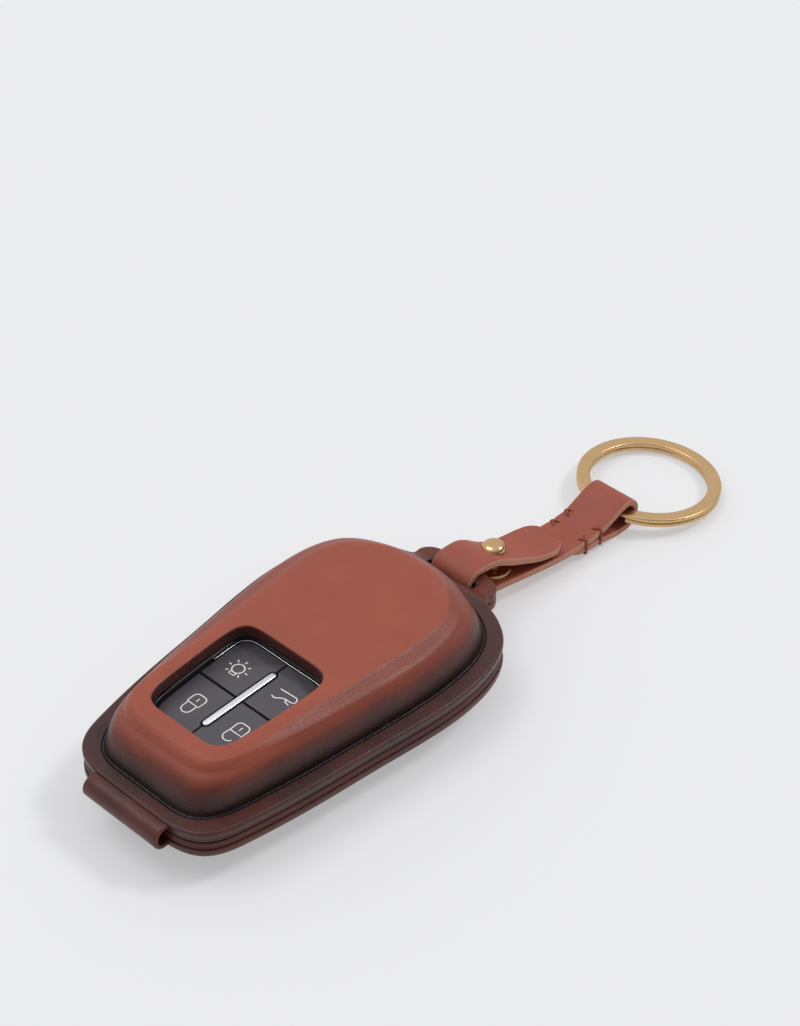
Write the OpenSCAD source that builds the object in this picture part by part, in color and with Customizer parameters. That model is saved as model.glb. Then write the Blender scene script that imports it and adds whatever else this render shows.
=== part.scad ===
/* [Case] */
// Length of the case body from the hinge edge to the end of the strap tab
case_l = 93.3; // [90:0.1:97]
// Width of the case across its widest part
case_w = 53.8; // [52:0.1:56]
// Height of the lower flange above the surface the case lies on
flange_bottom = 6.3; // [6:0.1:6.6]
// Thickness of each moulded outer leather skin
skin_t = 1.6; // [1.5:0.1:1.7]
// Thickness of each leather lining ply in the flange
ply_t = 1.0; // [0.9:0.1:1.1]
// Extra spacer depth of the lower lining ply
lower_ply_extra = 0.7; // [0.5:0.1:0.8]
// Gap between the closed halves
case_gap = 0.3; // [0.2:0.05:0.4]
// Height of the moulded dome above the upper flange
dome_h = 9.3; // [9.1:0.1:9.8]

/* [Hinge] */
// Width of the leather hinge strip
hinge_w = 20.2; // [16:0.2:22]
// Thickness of the hinge leather
hinge_t = 1.0; // [0.9:0.05:1.05]

/* [Strap] */
// Width of the strap
strap_w = 10.4; // [9:0.1:11]
// Thickness of the strap leather
strap_t = 1.5; // [1.3:0.1:1.6]
// Radius inside the wrap round the tab
wrap_r = 2.95; // [2.9:0.05:3.1]
// Radius inside the fold round the key ring
fold_r = 2.4; // [2.35:0.05:2.5]

/* [Stud] */
// Diameter of the stud head
stud_head_d = 5.2; // [4.6:0.1:5.4]
// Diameter of the stud base
stud_base_d = 7.8; // [7:0.1:8.4]

/* [Key ring] */
// Outside diameter of the split ring
ring_d = 32; // [30:0.5:34]
// Width of the flat ring wire
ring_wire_w = 2.9; // [2.7:0.1:3.1]
// Thickness of each of the two turns
ring_turn_t = 1.0; // [0.9:0.05:1.1]

/* [Key] */
// Height of the button faces above the surface the case lies on
button_top = 17.5; // [17.3:0.1:17.6]
// Travel of each button
button_travel = 0.5; // [0.3:0.05:0.5]
// Width of the silver divider bar
bar_w = 1.5; // [1.3:0.1:1.6]

/* [Hidden] */
$fn = 48;

// Heights of the flange plies
lower_skin_top = flange_bottom + skin_t;
lower_ply_top = lower_skin_top + ply_t + lower_ply_extra;
upper_ply_bottom = lower_ply_top + case_gap;
upper_skin_bottom = upper_ply_bottom + ply_t;
flange_top = upper_skin_bottom + skin_t;
dome_top = flange_top + dome_h;

// Plan scales from the drawn outline to the asked length and width
sx = case_l / 93.3;
sy = case_w / 53.8;
spans = 2;

// Half outlines, from the middle of the hinge edge to the middle of the tab end
flange_half = [[-42.6, 0], [-42.6, 5.5], [-42.4, 11], [-40.8, 15.6], [-37.4, 18.6],
    [-31.5, 20.4], [-18, 22.8], [-3, 24.6], [10, 26.3], [20, 26.9], [29.5, 25.8],
    [36.6, 22.6], [40.6, 17.6], [42.6, 13], [44.9, 10.4], [47.6, 10.5], [49.8, 8.8],
    [50.7, 5.5], [50.7, 0]];
body_half = [[-42.6, 0], [-42.6, 5.5], [-42.4, 11], [-40.8, 15.6], [-37.4, 18.6],
    [-31.5, 20.4], [-18, 22.8], [-3, 24.6], [10, 26.3], [20, 26.9], [29.5, 25.8],
    [36.6, 22.6], [40.2, 17.6], [41.7, 13], [42.3, 10], [42.7, 7.8], [43, 5.2],
    [43.1, 2.6], [43.1, 0]];
foot_half = [[-39.3, 0], [-39.3, 5], [-39.1, 9.6], [-37.8, 12.8], [-35, 15.2],
    [-30.6, 16.8], [-17.5, 19.2], [-2.6, 21.1], [9.5, 22.5], [19, 23], [27.5, 22.2],
    [33.7, 19.8], [37.3, 15.9], [39, 12.3], [40, 9.6], [40.6, 7.4], [41.1, 5],
    [41.4, 2.6], [41.5, 0]];
window_half = [[-29.1, 0], [-29.1, 2.5], [-29.1, 5], [-29, 7.3], [-28, 9.3],
    [-25.8, 10.4], [-22.5, 10.9], [-18.5, 11.2], [-14.5, 11.4], [-11, 11.6], [-7.5, 11.7],
    [-5, 11.6], [-3, 11.1], [-1.6, 9.8], [-1.1, 7.8], [-1, 5.9], [-1, 3.9],
    [-1, 1.9], [-1, 0]];
foot_mid_x = 1.1;
window_front_x = -26.5 * sx;

// The tab: its two skins come together past the linings
tab_start = 43.5;
tab_full = 46;
tab_top = 10.7;
tab_seam_low = 8.35;
tab_seam_high = 8.6;
tab_mid_z = (flange_bottom + tab_top) / 2;
bar_x = 48.9 * sx;
slot_front_x = bar_x - wrap_r - strap_t - 0.15;
slot_back_x = bar_x - 1.8;
slot_half_y = strap_w / 2 + 1;

// Hinge strip roll
roll_out_r = (flange_top - 0.5 - flange_bottom - 0.5) / 2;
roll_z = (flange_top + flange_bottom) / 2;
roll_x = -43.3 * sx;
tongue_end_x = -40 * sx;

// Strap route: x, y, z of the middle of the leather
strap_route = [[48.9, 0, 4.8], [53, -0.4, 4.8], [58, -1.3, 4.7], [65, -2.7, 4.4],
    [72, -3.8, 4.1], [79, -4.4, 4], [83, -4.6, 4.4], [86.5, -4.7, 5.6], [89.5, -4.7, 6.75]];
flap_route = [[48.9, 0, 12.2], [51.6, -0.2, 12.1], [54.2, -0.5, 11.4], [57, -1.1, 9.9],
    [60, -1.7, 8.5], [64, -2.5, 7.5], [68, -3.2, 6.9], [72.5, -3.85, 6.3]];
tail_route = [[88.5, -4.7, 0.9], [85.5, -4.7, 1.6], [82, -4.6, 2.25], [78.5, -4.4, 2.4],
    [75.5, -4.1, 2.4]];
fold_x = 91.6;
fold_y = -4.7;
fold_z = fold_r + strap_t;
stitch_x = [78.5, 83];

// Stud, on the middle of the strap
stud_x = 57.6;
stud_y = -1.2;
stud_base_z = 5.56;
stud_neck_top = 10.4;

// Ring, turned about the fold so that its far side lies on the surface
ring_t = 2 * ring_turn_t + 0.04;
ring_mid_r = (ring_d - ring_wire_w) / 2;
ring_band_x = fold_x - 0.5;
ring_tilt = asin((fold_z - ring_t / 2 - 0.02) / (2 * ring_mid_r + ring_wire_w / 2));
ramp_half = 18;

// Key inside the case
part_z = 9.75;
key_top = 18.4;
wall = 1.2;
well_half = [[-27.1, 0], [-27.1, 6.6], [-26.4, 8.9], [-24.6, 9.8], [-14.3, 10.6], [-4.4, 11],
    [-2.5, 10.3], [-1.7, 8.2], [-1.7, 0]];
cross_gap_x = -14.3;
cross_gap = 0.7;
spine_w = 2.6;
spine_z = 15.6;
bar_start_x = -23.7;
bar_l = 19.1;
board_z = 10;
board_t = 1.2;
switch_points = [[-21, 6], [-8.3, 6], [-21, -6], [-8.3, -6]];
cell_x = 17;
cell_r = 10;
cell_t = 3.2;
cell_z = 5.6;

function blend01(t) = let (c = max(0, min(1, t))) c * c * (3 - 2 * c);
function mix(a, b, t) = a + (b - a) * t;
function mirror_half(half) = concat(half,
    [for (i = [len(half) - 2 : -1 : 1]) [half[i].x, -half[i].y]]);
function catmull(a, b, c, d, t) = 0.5 * (2 * b + (c - a) * t
    + (2 * a - 5 * b + 4 * c - d) * t * t + (3 * b - a - 3 * c + d) * t * t * t);
function closed_curve(pts, steps) = let (n = len(pts)) [for (i = [0 : n - 1])
    for (s = [0 : steps - 1]) catmull(pts[(i + n - 1) % n], pts[i], pts[(i + 1) % n],
        pts[(i + 2) % n], s / steps)];
function open_curve(pts, steps) = let (n = len(pts)) concat([for (i = [0 : n - 2])
    for (s = [0 : steps - 1]) catmull(pts[max(0, i - 1)], pts[i], pts[i + 1],
        pts[min(n - 1, i + 2)], s / steps)], [pts[n - 1]]);
function plan(half, steps = spans) = [for (p = closed_curve(mirror_half(half), steps))
    [p.x * sx, p.y * sy]];
function scaled(pts, f) = [for (p = pts) [foot_mid_x + (p.x - foot_mid_x) * f, p.y * f]];
function between(a, b, t) = [for (i = [0 : len(a) - 1]) mix(a[i], b[i], t)];
function at(pts, z) = [for (p = pts) [p.x, p.y, z]];
// A flange surface that leaves its own height for the tab's
function dropping(pts, z, tab_z) = [for (p = pts)
    [p.x, p.y, mix(z, tab_z, blend01((p.x / sx - tab_start) / (tab_full - tab_start)))]];
function stitch_rings(n, rings, shut) = [for (k = [0 : rings - (shut ? 1 : 2)])
    for (i = [0 : n - 1]) let (j = (i + 1) % n, m = (k + 1) % rings)
        each [[k * n + i, m * n + j, k * n + j], [k * n + i, m * n + i, m * n + j]]];
function turned(faces) = [for (f = faces) [for (i = [len(f) - 1 : -1 : 0]) f[i]]];

flange_plan = plan(flange_half);
body_plan = plan(body_half);
foot_plan = plan(foot_half);
window_plan = plan(window_half);

// A solid from rings that close on themselves, like a picture frame
module frame_loft(rings) {
    n = len(rings[0]);
    polyhedron([for (r = rings) each r], stitch_rings(n, len(rings), true));
}

// A solid from rings with a flat cap at each end
module dish_loft(rings) {
    n = len(rings[0]);
    last = (len(rings) - 1) * n;
    polyhedron([for (r = rings) each r], turned(concat(stitch_rings(n, len(rings), false),
        [[for (i = [0 : n - 1]) i]], [[for (i = [n - 1 : -1 : 0]) last + i]])));
}

// Outer and inner dome profiles: plan scale and height above the flange
dome_out = [[1, 0], [0.985, 1.7], [0.962, 3.4], [0.93, 5.2], [0.888, 6.9], [0.84, 8.3],
    [0.79, 9.05], [0.74, 9.3]];
dome_in = [[0.91, -1.6], [0.9, 0.6], [0.88, 2.4], [0.852, 4], [0.815, 5.6], [0.77, 6.8],
    [0.72, 7.3], [0.68, 7.4]];
lining_in = [[0.875, -2.6], [0.865, 0.4], [0.846, 2], [0.82, 3.6], [0.785, 5], [0.742, 6.1],
    [0.7, 6.55], [0.66, 6.6]];
dish_out = [[0.81, -6.3], [0.86, -6.05], [0.91, -5.1], [0.95, -3.6], [0.98, -1.8], [1, 0]];
dish_in = [[0.91, 1.6], [0.9, -0.5], [0.88, -2], [0.85, -3.3], [0.8, -4.3], [0.76, -4.5]];
dish_lining_in = [[0.875, 3.3], [0.868, -0.3], [0.85, -1.6], [0.815, -2.8], [0.765, -3.6],
    [0.72, -3.75]];

// A ring that would cross the hinge end of the window is held just outside it
function beside_window(ring, out) = [for (i = [0 : len(ring) - 1])
    [window_plan[i].x < window_front_x ? min(ring[i].x, window_plan[i].x - out) : ring[i].x,
        ring[i].y]];
function dome_rings(profile, zero) = let (least = profile[len(profile) - 1].x)
    [for (p = profile) at(beside_window(scaled(foot_plan, p.x), 0.1 + 5 * (p.x - least)),
        zero + p.y * (p.y > 0 ? dome_h / 9.3 : 1))];
function dish_rings(profile, zero) = [for (p = profile)
    at(scaled(foot_plan, p.x), max(0, zero + p.y * (p.y < 0 ? zero / 6.3 : 1)))];

module slot_cut() {
    mid_x = (slot_front_x + slot_back_x) / 2;
    end_r = (slot_back_x - slot_front_x) / 2;
    translate([mid_x, 0, 0]) linear_extrude(20) {
        square([2 * end_r, 2 * (slot_half_y - end_r)], center = true);
        for (s = [-1, 1]) translate([0, s * (slot_half_y - end_r)]) circle(end_r);
    }
}

module hinge_pocket(z_low, z_high) {
    translate([-44 * sx, -hinge_w / 2 - 0.05, z_low])
        cube([44 * sx + tongue_end_x, hinge_w + 0.1, z_high - z_low]);
}

module upper_shell() {
    top_edge = [for (t = [0.25, 0.5, 0.75, 0.97]) between(foot_plan, flange_plan, t)];
    under = [for (t = [0.4, 0.48, 0.56, 0.75]) between(flange_plan, scaled(foot_plan, 0.91), t)];
    over = dome_rings(dome_out, flange_top);
    shoulder = over[len(over) - 1];
    difference() {
        color("sienna") frame_loft(concat(
            [at(window_plan, flange_top + 7.4 * dome_h / 9.3), at(window_plan, dome_top - 0.7),
                between(at(window_plan, dome_top), shoulder, 0.07)],
            [for (i = [len(over) - 1 : -1 : 0]) over[i]],
            [for (r = top_edge) dropping(r, flange_top, tab_top)],
            [dropping(flange_plan, flange_top - 0.4, tab_top - 0.4),
                dropping(flange_plan, upper_skin_bottom, tab_seam_high)],
            [for (r = under) dropping(r, upper_skin_bottom, tab_seam_high)],
            dome_rings(dome_in, flange_top)));
        slot_cut();
        hinge_pocket(upper_skin_bottom - 1, flange_top - 0.5);
    }
}

module upper_lining() {
    outer = dome_rings([for (p = dome_in) [p.x - 0.003, p.y - 0.05]], flange_top);
    color("saddlebrown") frame_loft(concat(
        [at(window_plan, flange_top + 6.6 * dome_h / 9.3),
            at(window_plan, flange_top + 7.35 * dome_h / 9.3)],
        [for (i = [len(outer) - 1 : -1 : 1]) outer[i]],
        [at(scaled(foot_plan, dome_in[0].x - 0.003), upper_skin_bottom - 0.02),
            at(body_plan, upper_skin_bottom - 0.02), at(body_plan, upper_ply_bottom)],
        dome_rings(lining_in, flange_top)));
}

module lower_shell() {
    flat = [for (t = [0.3, 0.65]) between(foot_plan, flange_plan, t)];
    inner = [for (t = [0.45, 0.56]) between(flange_plan, scaled(foot_plan, 0.91), t)];
    difference() {
        color("sienna") dish_loft(concat(dish_rings(dish_out, flange_bottom),
            [for (r = flat) at(r, flange_bottom)],
            [at(between(foot_plan, flange_plan, 0.97), flange_bottom),
                at(flange_plan, flange_bottom + 0.4),
                dropping(flange_plan, lower_skin_top, tab_seam_low)],
            [for (r = inner) dropping(r, lower_skin_top, tab_seam_low)],
            dish_rings(dish_in, flange_bottom)));
        slot_cut();
        hinge_pocket(flange_bottom + 0.5, lower_skin_top + 1);
    }
}

module lower_lining() {
    outer = [for (p = dish_in) [p.x - 0.003, p.y + 0.05]];
    color("saddlebrown") dish_loft(concat(
        [for (i = [len(outer) - 1 : -1 : 1])
            at(scaled(foot_plan, outer[i].x), flange_bottom + outer[i].y * flange_bottom / 6.3)],
        [at(scaled(foot_plan, outer[0].x), lower_skin_top + 0.02),
            at(body_plan, lower_skin_top + 0.02), at(body_plan, lower_ply_top)],
        [at(scaled(foot_plan, dish_lining_in[0].x), lower_ply_top)],
        [for (i = [1 : len(dish_lining_in) - 1])
            at(scaled(foot_plan, dish_lining_in[i].x),
                flange_bottom + dish_lining_in[i].y * flange_bottom / 6.3)]));
}

module hinge_strip() {
    color("saddlebrown") translate([roll_x, 0, roll_z]) rotate([90, 0, 0]) {
        translate([0, 0, -hinge_w / 2]) {
            difference() {
                cylinder(h = hinge_w, r = roll_out_r);
                translate([0, 0, -1]) cylinder(h = hinge_w + 2, r = roll_out_r - hinge_t);
                translate([0, -2 * roll_out_r, -1])
                    cube([4 * roll_out_r, 4 * roll_out_r, hinge_w + 2]);
            }
            for (low = [-roll_out_r, roll_out_r - hinge_t]) translate([0, low, 0])
                cube([tongue_end_x - roll_x - 0.1, hinge_t, hinge_w]);
        }
    }
}

// A strip of leather along a route, w wide and t thick
function ribbon_ring(p, dir, w, t) = let (
    slope = abs(dir.x) > norm(dir) / 2 ? dir.y / dir.x : 0,
    side = [-slope, 1, 0] / norm([slope, 1]),
    up = cross(dir, side) / norm(cross(dir, side)), e = 0.25)
    [for (c = [[-w / 2, t / 2 - e], [-w / 2 + e, t / 2], [w / 2 - e, t / 2],
        [w / 2, t / 2 - e], [w / 2, -t / 2 + e], [w / 2 - e, -t / 2], [-w / 2 + e, -t / 2],
        [-w / 2, -t / 2 + e]]) p + side * c.x + up * c.y];

module ribbon(pts, widths, t) {
    n = len(pts);
    rings = [for (i = [0 : n - 1]) ribbon_ring(pts[i],
        i == 0 ? [1, 0, 0] : pts[min(n - 1, i + 1)] - pts[i - 1], widths[i], t)];
    dish_loft(rings);
}

function rounded_end(i, n, w, cut) = i < n - 3 ? w : w - cut * pow((i - (n - 4)) / 3, 2);

module strap() {
    arc = [for (a = [96 : -12 : -84]) [fold_x + (fold_r + strap_t / 2) * cos(a), fold_y,
        fold_z + (fold_r + strap_t / 2) * sin(a)]];
    run = open_curve(strap_route, 3);
    tail = open_curve(tail_route, 3);
    whole = concat(run, arc, tail);
    n = len(whole);
    color("sienna") difference() {
        ribbon(whole, [for (i = [0 : n - 1]) rounded_end(i, n, strap_w, 4)], strap_t);
        translate([stud_x, stud_y, 2]) cylinder(h = 5, r = 1.25);
    }
}

module strap_loop() {
    out_r = wrap_r + strap_t;
    color("sienna") translate([bar_x, strap_w / 2, tab_mid_z]) rotate([90, 0, 0])
        difference() {
            cylinder(h = strap_w, r = out_r);
            translate([0, 0, -1]) cylinder(h = strap_w + 2, r = wrap_r);
            translate([0, -2 * out_r, -1]) cube([4 * out_r, 4 * out_r, strap_w + 2]);
        }
}

module strap_flap() {
    run = open_curve(flap_route, 4);
    n = len(run);
    color("sienna") difference() {
        ribbon(run, [for (i = [0 : n - 1]) rounded_end(i, n, strap_w, 4.4)], strap_t);
        translate([stud_x - 3, stud_y, 5]) linear_extrude(9) union() {
            translate([3, 0]) circle(stud_head_d / 2 + 0.4);
            translate([4.6, 0]) circle(stud_head_d / 2 + 0.4);
            translate([3, -stud_head_d / 2 - 0.4]) square([1.6, stud_head_d + 0.8]);
        }
    }
}

module strap_stitches() {
    color("peru") for (x = stitch_x) for (s = [-1, 1])
        translate([x, fold_y + 0.2 + s * (strap_w / 2 + 0.35), 3.2]) {
            cube([0.8, 0.6, 3.6], center = true);
            for (z = [-1, 1]) translate([0, -s * 0.95, z * 1.95])
                cube([0.8, 2.5, 0.35], center = true);
        }
}

module stud() {
    color("goldenrod") translate([stud_x, stud_y, 0]) rotate_extrude()
        polygon([[0, stud_base_z], [stud_base_d / 2, stud_base_z],
            [stud_base_d / 2, stud_base_z + 0.5], [stud_base_d / 2 - 0.4, stud_base_z + 0.8],
            [1.4, stud_base_z + 0.8], [1.4, stud_neck_top], [stud_head_d / 2, stud_neck_top + 0.2],
            [stud_head_d / 2, stud_neck_top + 0.8], [stud_head_d / 2 - 0.4, stud_neck_top + 1.5],
            [stud_head_d / 2 - 1.2, stud_neck_top + 2], [0, stud_neck_top + 2.1]]);
}

module stud_screw() {
    color("goldenrod") translate([stud_x, stud_y, 0]) difference() {
        rotate_extrude() polygon([[0, 2.9], [2.4, 2.9], [3, 3.3], [3, 3.85], [1.1, 3.85],
            [1.1, stud_base_z - 0.02], [0, stud_base_z - 0.02]]);
        translate([-3.5, -0.35, 2.5]) cube([7, 0.7, 0.7]);
    }
}

// Height of the coil: the lower turn, a short ramp, then the upper turn
function coil_z(a) = mix(-1, 1, blend01((a - 360 + ramp_half) / (2 * ramp_half)))
    * (ring_turn_t + 0.04) / 2;

function coil_ring(a) = let (w = ring_wire_w / 2, t = ring_turn_t / 2, e = 0.22)
    [for (c = [[-w, -t + e], [-w + e, -t], [w - e, -t], [w, -t + e], [w, t - e],
        [w - e, t], [-w + e, t], [-w, t - e]])
        [(ring_mid_r + c.x) * cos(a), (ring_mid_r + c.x) * sin(a), coil_z(a) + c.y]];

module split_ring() {
    angles = concat([for (a = [ramp_half + 2 : 8 : 360 - ramp_half]) a],
        [for (a = [360 - ramp_half + 4 : 4 : 360 + ramp_half]) a],
        [for (a = [360 + ramp_half + 6 : 8 : 720 - ramp_half - 2]) a]);
    color("goldenrod") translate([ring_band_x, fold_y, fold_z]) rotate([0, ring_tilt, 0])
        translate([ring_mid_r, 0, 0]) rotate([0, 0, 180])
            dish_loft([for (a = angles) coil_ring(a)]);
}

// Key body profiles: plan scale and height
key_up = [[0.85, part_z], [0.848, 12], [0.832, 13.6], [0.808, 15.3], [0.78, 16.8],
    [0.75, 17.8], [0.715, key_top]];
key_down = [[0.66, 3], [0.74, 3.3], [0.79, 4.1], [0.828, 5.4], [0.85, 7], [0.85, part_z - 0.1]];

function key_ring(f, z) = at(scaled(foot_plan, f), z);
function well_plan(grow) = let (pts = closed_curve(mirror_half(well_half), 4))
    [for (p = pts) [-14.4 + (p.x + 14.4) * (1 + grow / 12.7), p.y * (1 + grow / 10.8)]];

module fob_top_housing() {
    inner = [for (i = [len(key_up) - 1 : -1 : 0]) [key_up[i].x - 0.055,
        i == 0 ? part_z : key_up[i].y - wall]];
    difference() {
        color([0.12, 0.12, 0.13]) dish_loft(concat([for (p = [for (i = [0 : len(inner) - 1])
            inner[i]]) key_ring(p.x, p.y)], [for (p = key_up) key_ring(p.x, p.y)]));
        translate([0, 0, button_top - 2.4]) linear_extrude(5) polygon(well_plan(0.85));
    }
    // Spine under the divider bar, hung from a rib at each end
    color([0.12, 0.12, 0.13]) {
        for (x = [-28.8, -0.2]) translate([x, -6, spine_z - 0.2]) cube([1.2, 12, 1.9]);
        translate([-28.5, 0.3 - spine_w / 2, spine_z]) cube([29, spine_w - 0.6, 1.3]);
    }
}

module fob_bottom_housing() {
    inner = [for (p = key_down) [p.x - 0.055, p.y == part_z - 0.1 ? p.y : p.y + wall]];
    color([0.12, 0.12, 0.13]) dish_loft(concat([for (p = key_down) key_ring(p.x, p.y)],
        [for (i = [len(inner) - 1 : -1 : 0]) key_ring(inner[i].x, inner[i].y)]));
    // Posts that carry the circuit board
    color([0.12, 0.12, 0.13]) for (p = [[-26, 9], [-26, -9], [0, 8.5], [2, -13.5], [29, -9]])
        translate([p.x, p.y, 4]) cylinder(h = board_z - 4.02, r = 1.4);
}

module button_trim() {
    color("silver") translate([0, 0, key_top - 0.9]) linear_extrude(1.0) difference() {
        polygon(well_plan(0.8));
        polygon(well_plan(0.15));
    }
}

module divider_bar() {
    span = bar_l - bar_w;
    color("silver") translate([bar_start_x + bar_w / 2, 0, spine_z + 1.32]) linear_extrude(0.75) {
        circle(bar_w / 2);
        translate([0, -bar_w / 2]) square([span, bar_w]);
        translate([span, 0]) circle(bar_w / 2);
    }
}

// One of the four button caps: end is -1 towards the hinge, side is 1 on the left
module button_cap(end, side) {
    color([0.25, 0.24, 0.26]) {
        translate([0, 0, button_top - 1.5]) linear_extrude(1.5) intersection() {
            polygon(well_plan(-0.12));
            translate([end < 0 ? -40 : cross_gap_x + cross_gap / 2,
                side < 0 ? -20 : spine_w / 2])
                square([end < 0 ? 40 + cross_gap_x - cross_gap / 2 : 40, 20 - spine_w / 2]);
        }
        translate([end < 0 ? -21 : -8.3, side * 6, button_top - 2.2]) cylinder(h = 0.8, r = 1.5);
    }
}

module button_lights() {
    button_cap(1, 1);
}

module button_boot() {
    button_cap(1, -1);
}

module button_lock() {
    button_cap(-1, 1);
}

module button_unlock() {
    button_cap(-1, -1);
}

module key_mat() {
    mat_z = 13.6;
    color([0.3, 0.3, 0.32]) {
        translate([0, 0, mat_z]) linear_extrude(0.6) polygon(well_plan(0.6));
        for (p = switch_points) translate([p.x, p.y, mat_z + 0.5]) cylinder(h = 0.6, r = 2);
        for (p = switch_points) translate([p.x, p.y, mat_z - 0.2]) cylinder(h = 0.4, r = 1);
    }
}

module circuit_board() {
    color("darkgreen") translate([0, 0, board_z]) linear_extrude(board_t)
        polygon(scaled(foot_plan, 0.77));
}

module tact_switches() {
    color("silver") for (p = switch_points) translate([p.x, p.y, board_z + board_t]) {
        translate([-2.25, -2.25, 0.01]) cube([4.5, 4.5, 1.5]);
        translate([0, 0, 1.4]) cylinder(h = 0.6, r = 1.1);
    }
}

module coin_cell() {
    color("silver") translate([cell_x, 0, cell_z]) {
        cylinder(h = cell_t - 0.6, r = cell_r);
        translate([0, 0, cell_t - 0.7]) cylinder(h = 0.7, r = cell_r - 1.2);
    }
}

module battery_clip_plus() {
    color("silver") translate([cell_x, 0, 0]) {
        for (s = [-1, 1]) translate([-2, s * (cell_r + 0.35) - 0.15, cell_z + 0.3])
            cube([4, 0.3, board_z - cell_z - 0.32]);
    }
}

module battery_clip_minus() {
    color("silver") translate([cell_x - 2, -1.5, cell_z + cell_t + 0.05]) {
        cube([6, 3, 0.3]);
        translate([0, 0, 0.25]) cube([1, 3, board_z - cell_z - cell_t - 0.32]);
    }
}

module antenna_coil() {
    color("peru") translate([24, 0, board_z + board_t + 0.02]) {
        difference() {
            translate([-4, -4, 0]) cube([8, 8, 3]);
            translate([-2, -2, -1]) cube([4, 4, 5]);
        }
    }
}

module controller_chip() {
    color([0.1, 0.1, 0.1]) translate([6, -3, board_z + board_t + 0.02]) cube([6, 6, 1]);
}

module crystal_can() {
    color("silver") translate([6, 6, board_z + board_t + 0.02]) cube([3.2, 2.5, 0.8]);
}

module emergency_blade() {
    color("lightgray") translate([-10, 10.7, 5.6]) difference() {
        cube([28, 3.6, 2]);
        translate([3, 1.4, 1.4]) cube([26, 1.2, 1]);
        for (k = [0 : 3]) translate([4 + k * 5, -0.5, -0.5]) cube([2.4, 1.2, 3]);
    }
}

module blade_grip() {
    color([0.15, 0.15, 0.16]) translate([18.05, 10.7, 5]) cube([6, 3.7, 3.4]);
}

upper_shell();
upper_lining();
lower_shell();
lower_lining();
hinge_strip();
strap();
strap_loop();
strap_flap();
strap_stitches();
stud();
stud_screw();
split_ring();
fob_top_housing();
fob_bottom_housing();
button_trim();
divider_bar();
button_lights();
button_boot();
button_lock();
button_unlock();
key_mat();
circuit_board();
tact_switches();
coin_cell();
battery_clip_plus();
battery_clip_minus();
antenna_coil();
controller_chip();
crystal_can();
emergency_blade();
blade_grip();
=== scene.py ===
"""Looks of a moulded leather car-key case.

It has a button window, a rolled hinge, a strap and a split ring.
"""
import math

import bpy
import numpy as np
from bpy.props import FloatProperty, FloatVectorProperty, IntProperty, PointerProperty
from mathutils import Matrix, Vector


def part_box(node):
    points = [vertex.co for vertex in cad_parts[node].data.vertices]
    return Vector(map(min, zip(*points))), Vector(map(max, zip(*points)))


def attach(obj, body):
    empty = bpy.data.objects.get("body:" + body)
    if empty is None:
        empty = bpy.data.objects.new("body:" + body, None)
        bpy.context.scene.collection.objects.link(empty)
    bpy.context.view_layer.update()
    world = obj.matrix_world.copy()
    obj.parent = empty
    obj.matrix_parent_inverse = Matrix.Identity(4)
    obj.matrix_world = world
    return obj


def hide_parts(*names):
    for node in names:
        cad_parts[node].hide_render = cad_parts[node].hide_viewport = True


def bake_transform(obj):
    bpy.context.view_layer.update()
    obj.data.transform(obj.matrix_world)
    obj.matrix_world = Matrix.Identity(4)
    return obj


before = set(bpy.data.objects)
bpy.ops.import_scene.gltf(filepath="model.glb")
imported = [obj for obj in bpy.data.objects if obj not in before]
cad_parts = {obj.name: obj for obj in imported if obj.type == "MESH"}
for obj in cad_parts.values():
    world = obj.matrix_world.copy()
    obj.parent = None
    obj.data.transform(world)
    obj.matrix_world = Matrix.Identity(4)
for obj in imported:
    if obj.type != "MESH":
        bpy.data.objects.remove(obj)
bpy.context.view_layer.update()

bl_info = {
    "name": "Leather key case",
    "version": (1, 0, 0),
    "blender": (4, 5, 0),
    "location": "View3D > Sidebar > Key case",
    "description": "Leather, brass and key pieces built round the packed key case",
    "category": "Add Mesh",
}

MM = 0.001
STEPS = 8


# Heights of the flange plies and the dome, in millimetres
FLANGE_BOTTOM = 6.3
LOWER_SKIN_TOP = 7.9
LOWER_PLY_TOP = 9.6
UPPER_PLY_BOTTOM = 9.9
UPPER_SKIN_BOTTOM = 10.9
FLANGE_TOP = 12.5
DOME_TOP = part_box("upper_shell")[1].z / MM
TAB_START, TAB_FULL = 42.2, 46.5
TAB_TOP, TAB_SEAM_LOW, TAB_SEAM_HIGH = 10.7, 8.35, 8.6
FOOT_MIDDLE = 1.1

# Half outlines, from the middle of the hinge edge to the middle of the tab end
FLANGE_HALF = [(-42.6, 0), (-42.6, 5.5), (-42.4, 11), (-40.8, 15.6), (-37.4, 18.6), (-31.5, 20.4),
               (-18, 22.8), (-3, 24.6), (10, 26.3), (20, 26.9), (29.5, 25.8), (36.6, 22.6),
               (40.6, 17.6), (42.6, 13), (44.9, 10.4), (47.6, 10.5), (49.8, 8.8), (50.7, 5.5),
               (50.7, 0)]
BODY_HALF = FLANGE_HALF[:12] + [(40.2, 17.6), (41.7, 13), (42.3, 10), (42.7, 7.8), (43, 5.2),
                                (43.1, 2.6), (43.1, 0)]
FOOT_HALF = [(-39.3, 0), (-39.3, 5), (-39.1, 9.6), (-37.8, 12.8), (-35, 15.2), (-30.6, 16.8),
             (-17.5, 19.2), (-2.6, 21.1), (9.5, 22.5), (19, 23), (27.5, 22.2), (33.7, 19.8),
             (37.3, 15.9), (39, 12.3), (40, 9.6), (40.6, 7.4), (41.1, 5), (41.4, 2.6), (41.5, 0)]
RIDGE_HALF = [(-33.0, 0), (-33.0, 4.2), (-32.8, 8.1), (-31.8, 10.9), (-29.5, 12.9), (-25.8, 13.8),
              (-15.3, 14.5), (-2.6, 15.5), (9, 16.3), (17, 16.8), (23.5, 16.6), (28.3, 15),
              (31.4, 12.3), (33, 9.8), (34, 7.6), (34.6, 5.8), (35, 4), (35.2, 2), (35.3, 0)]
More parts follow.
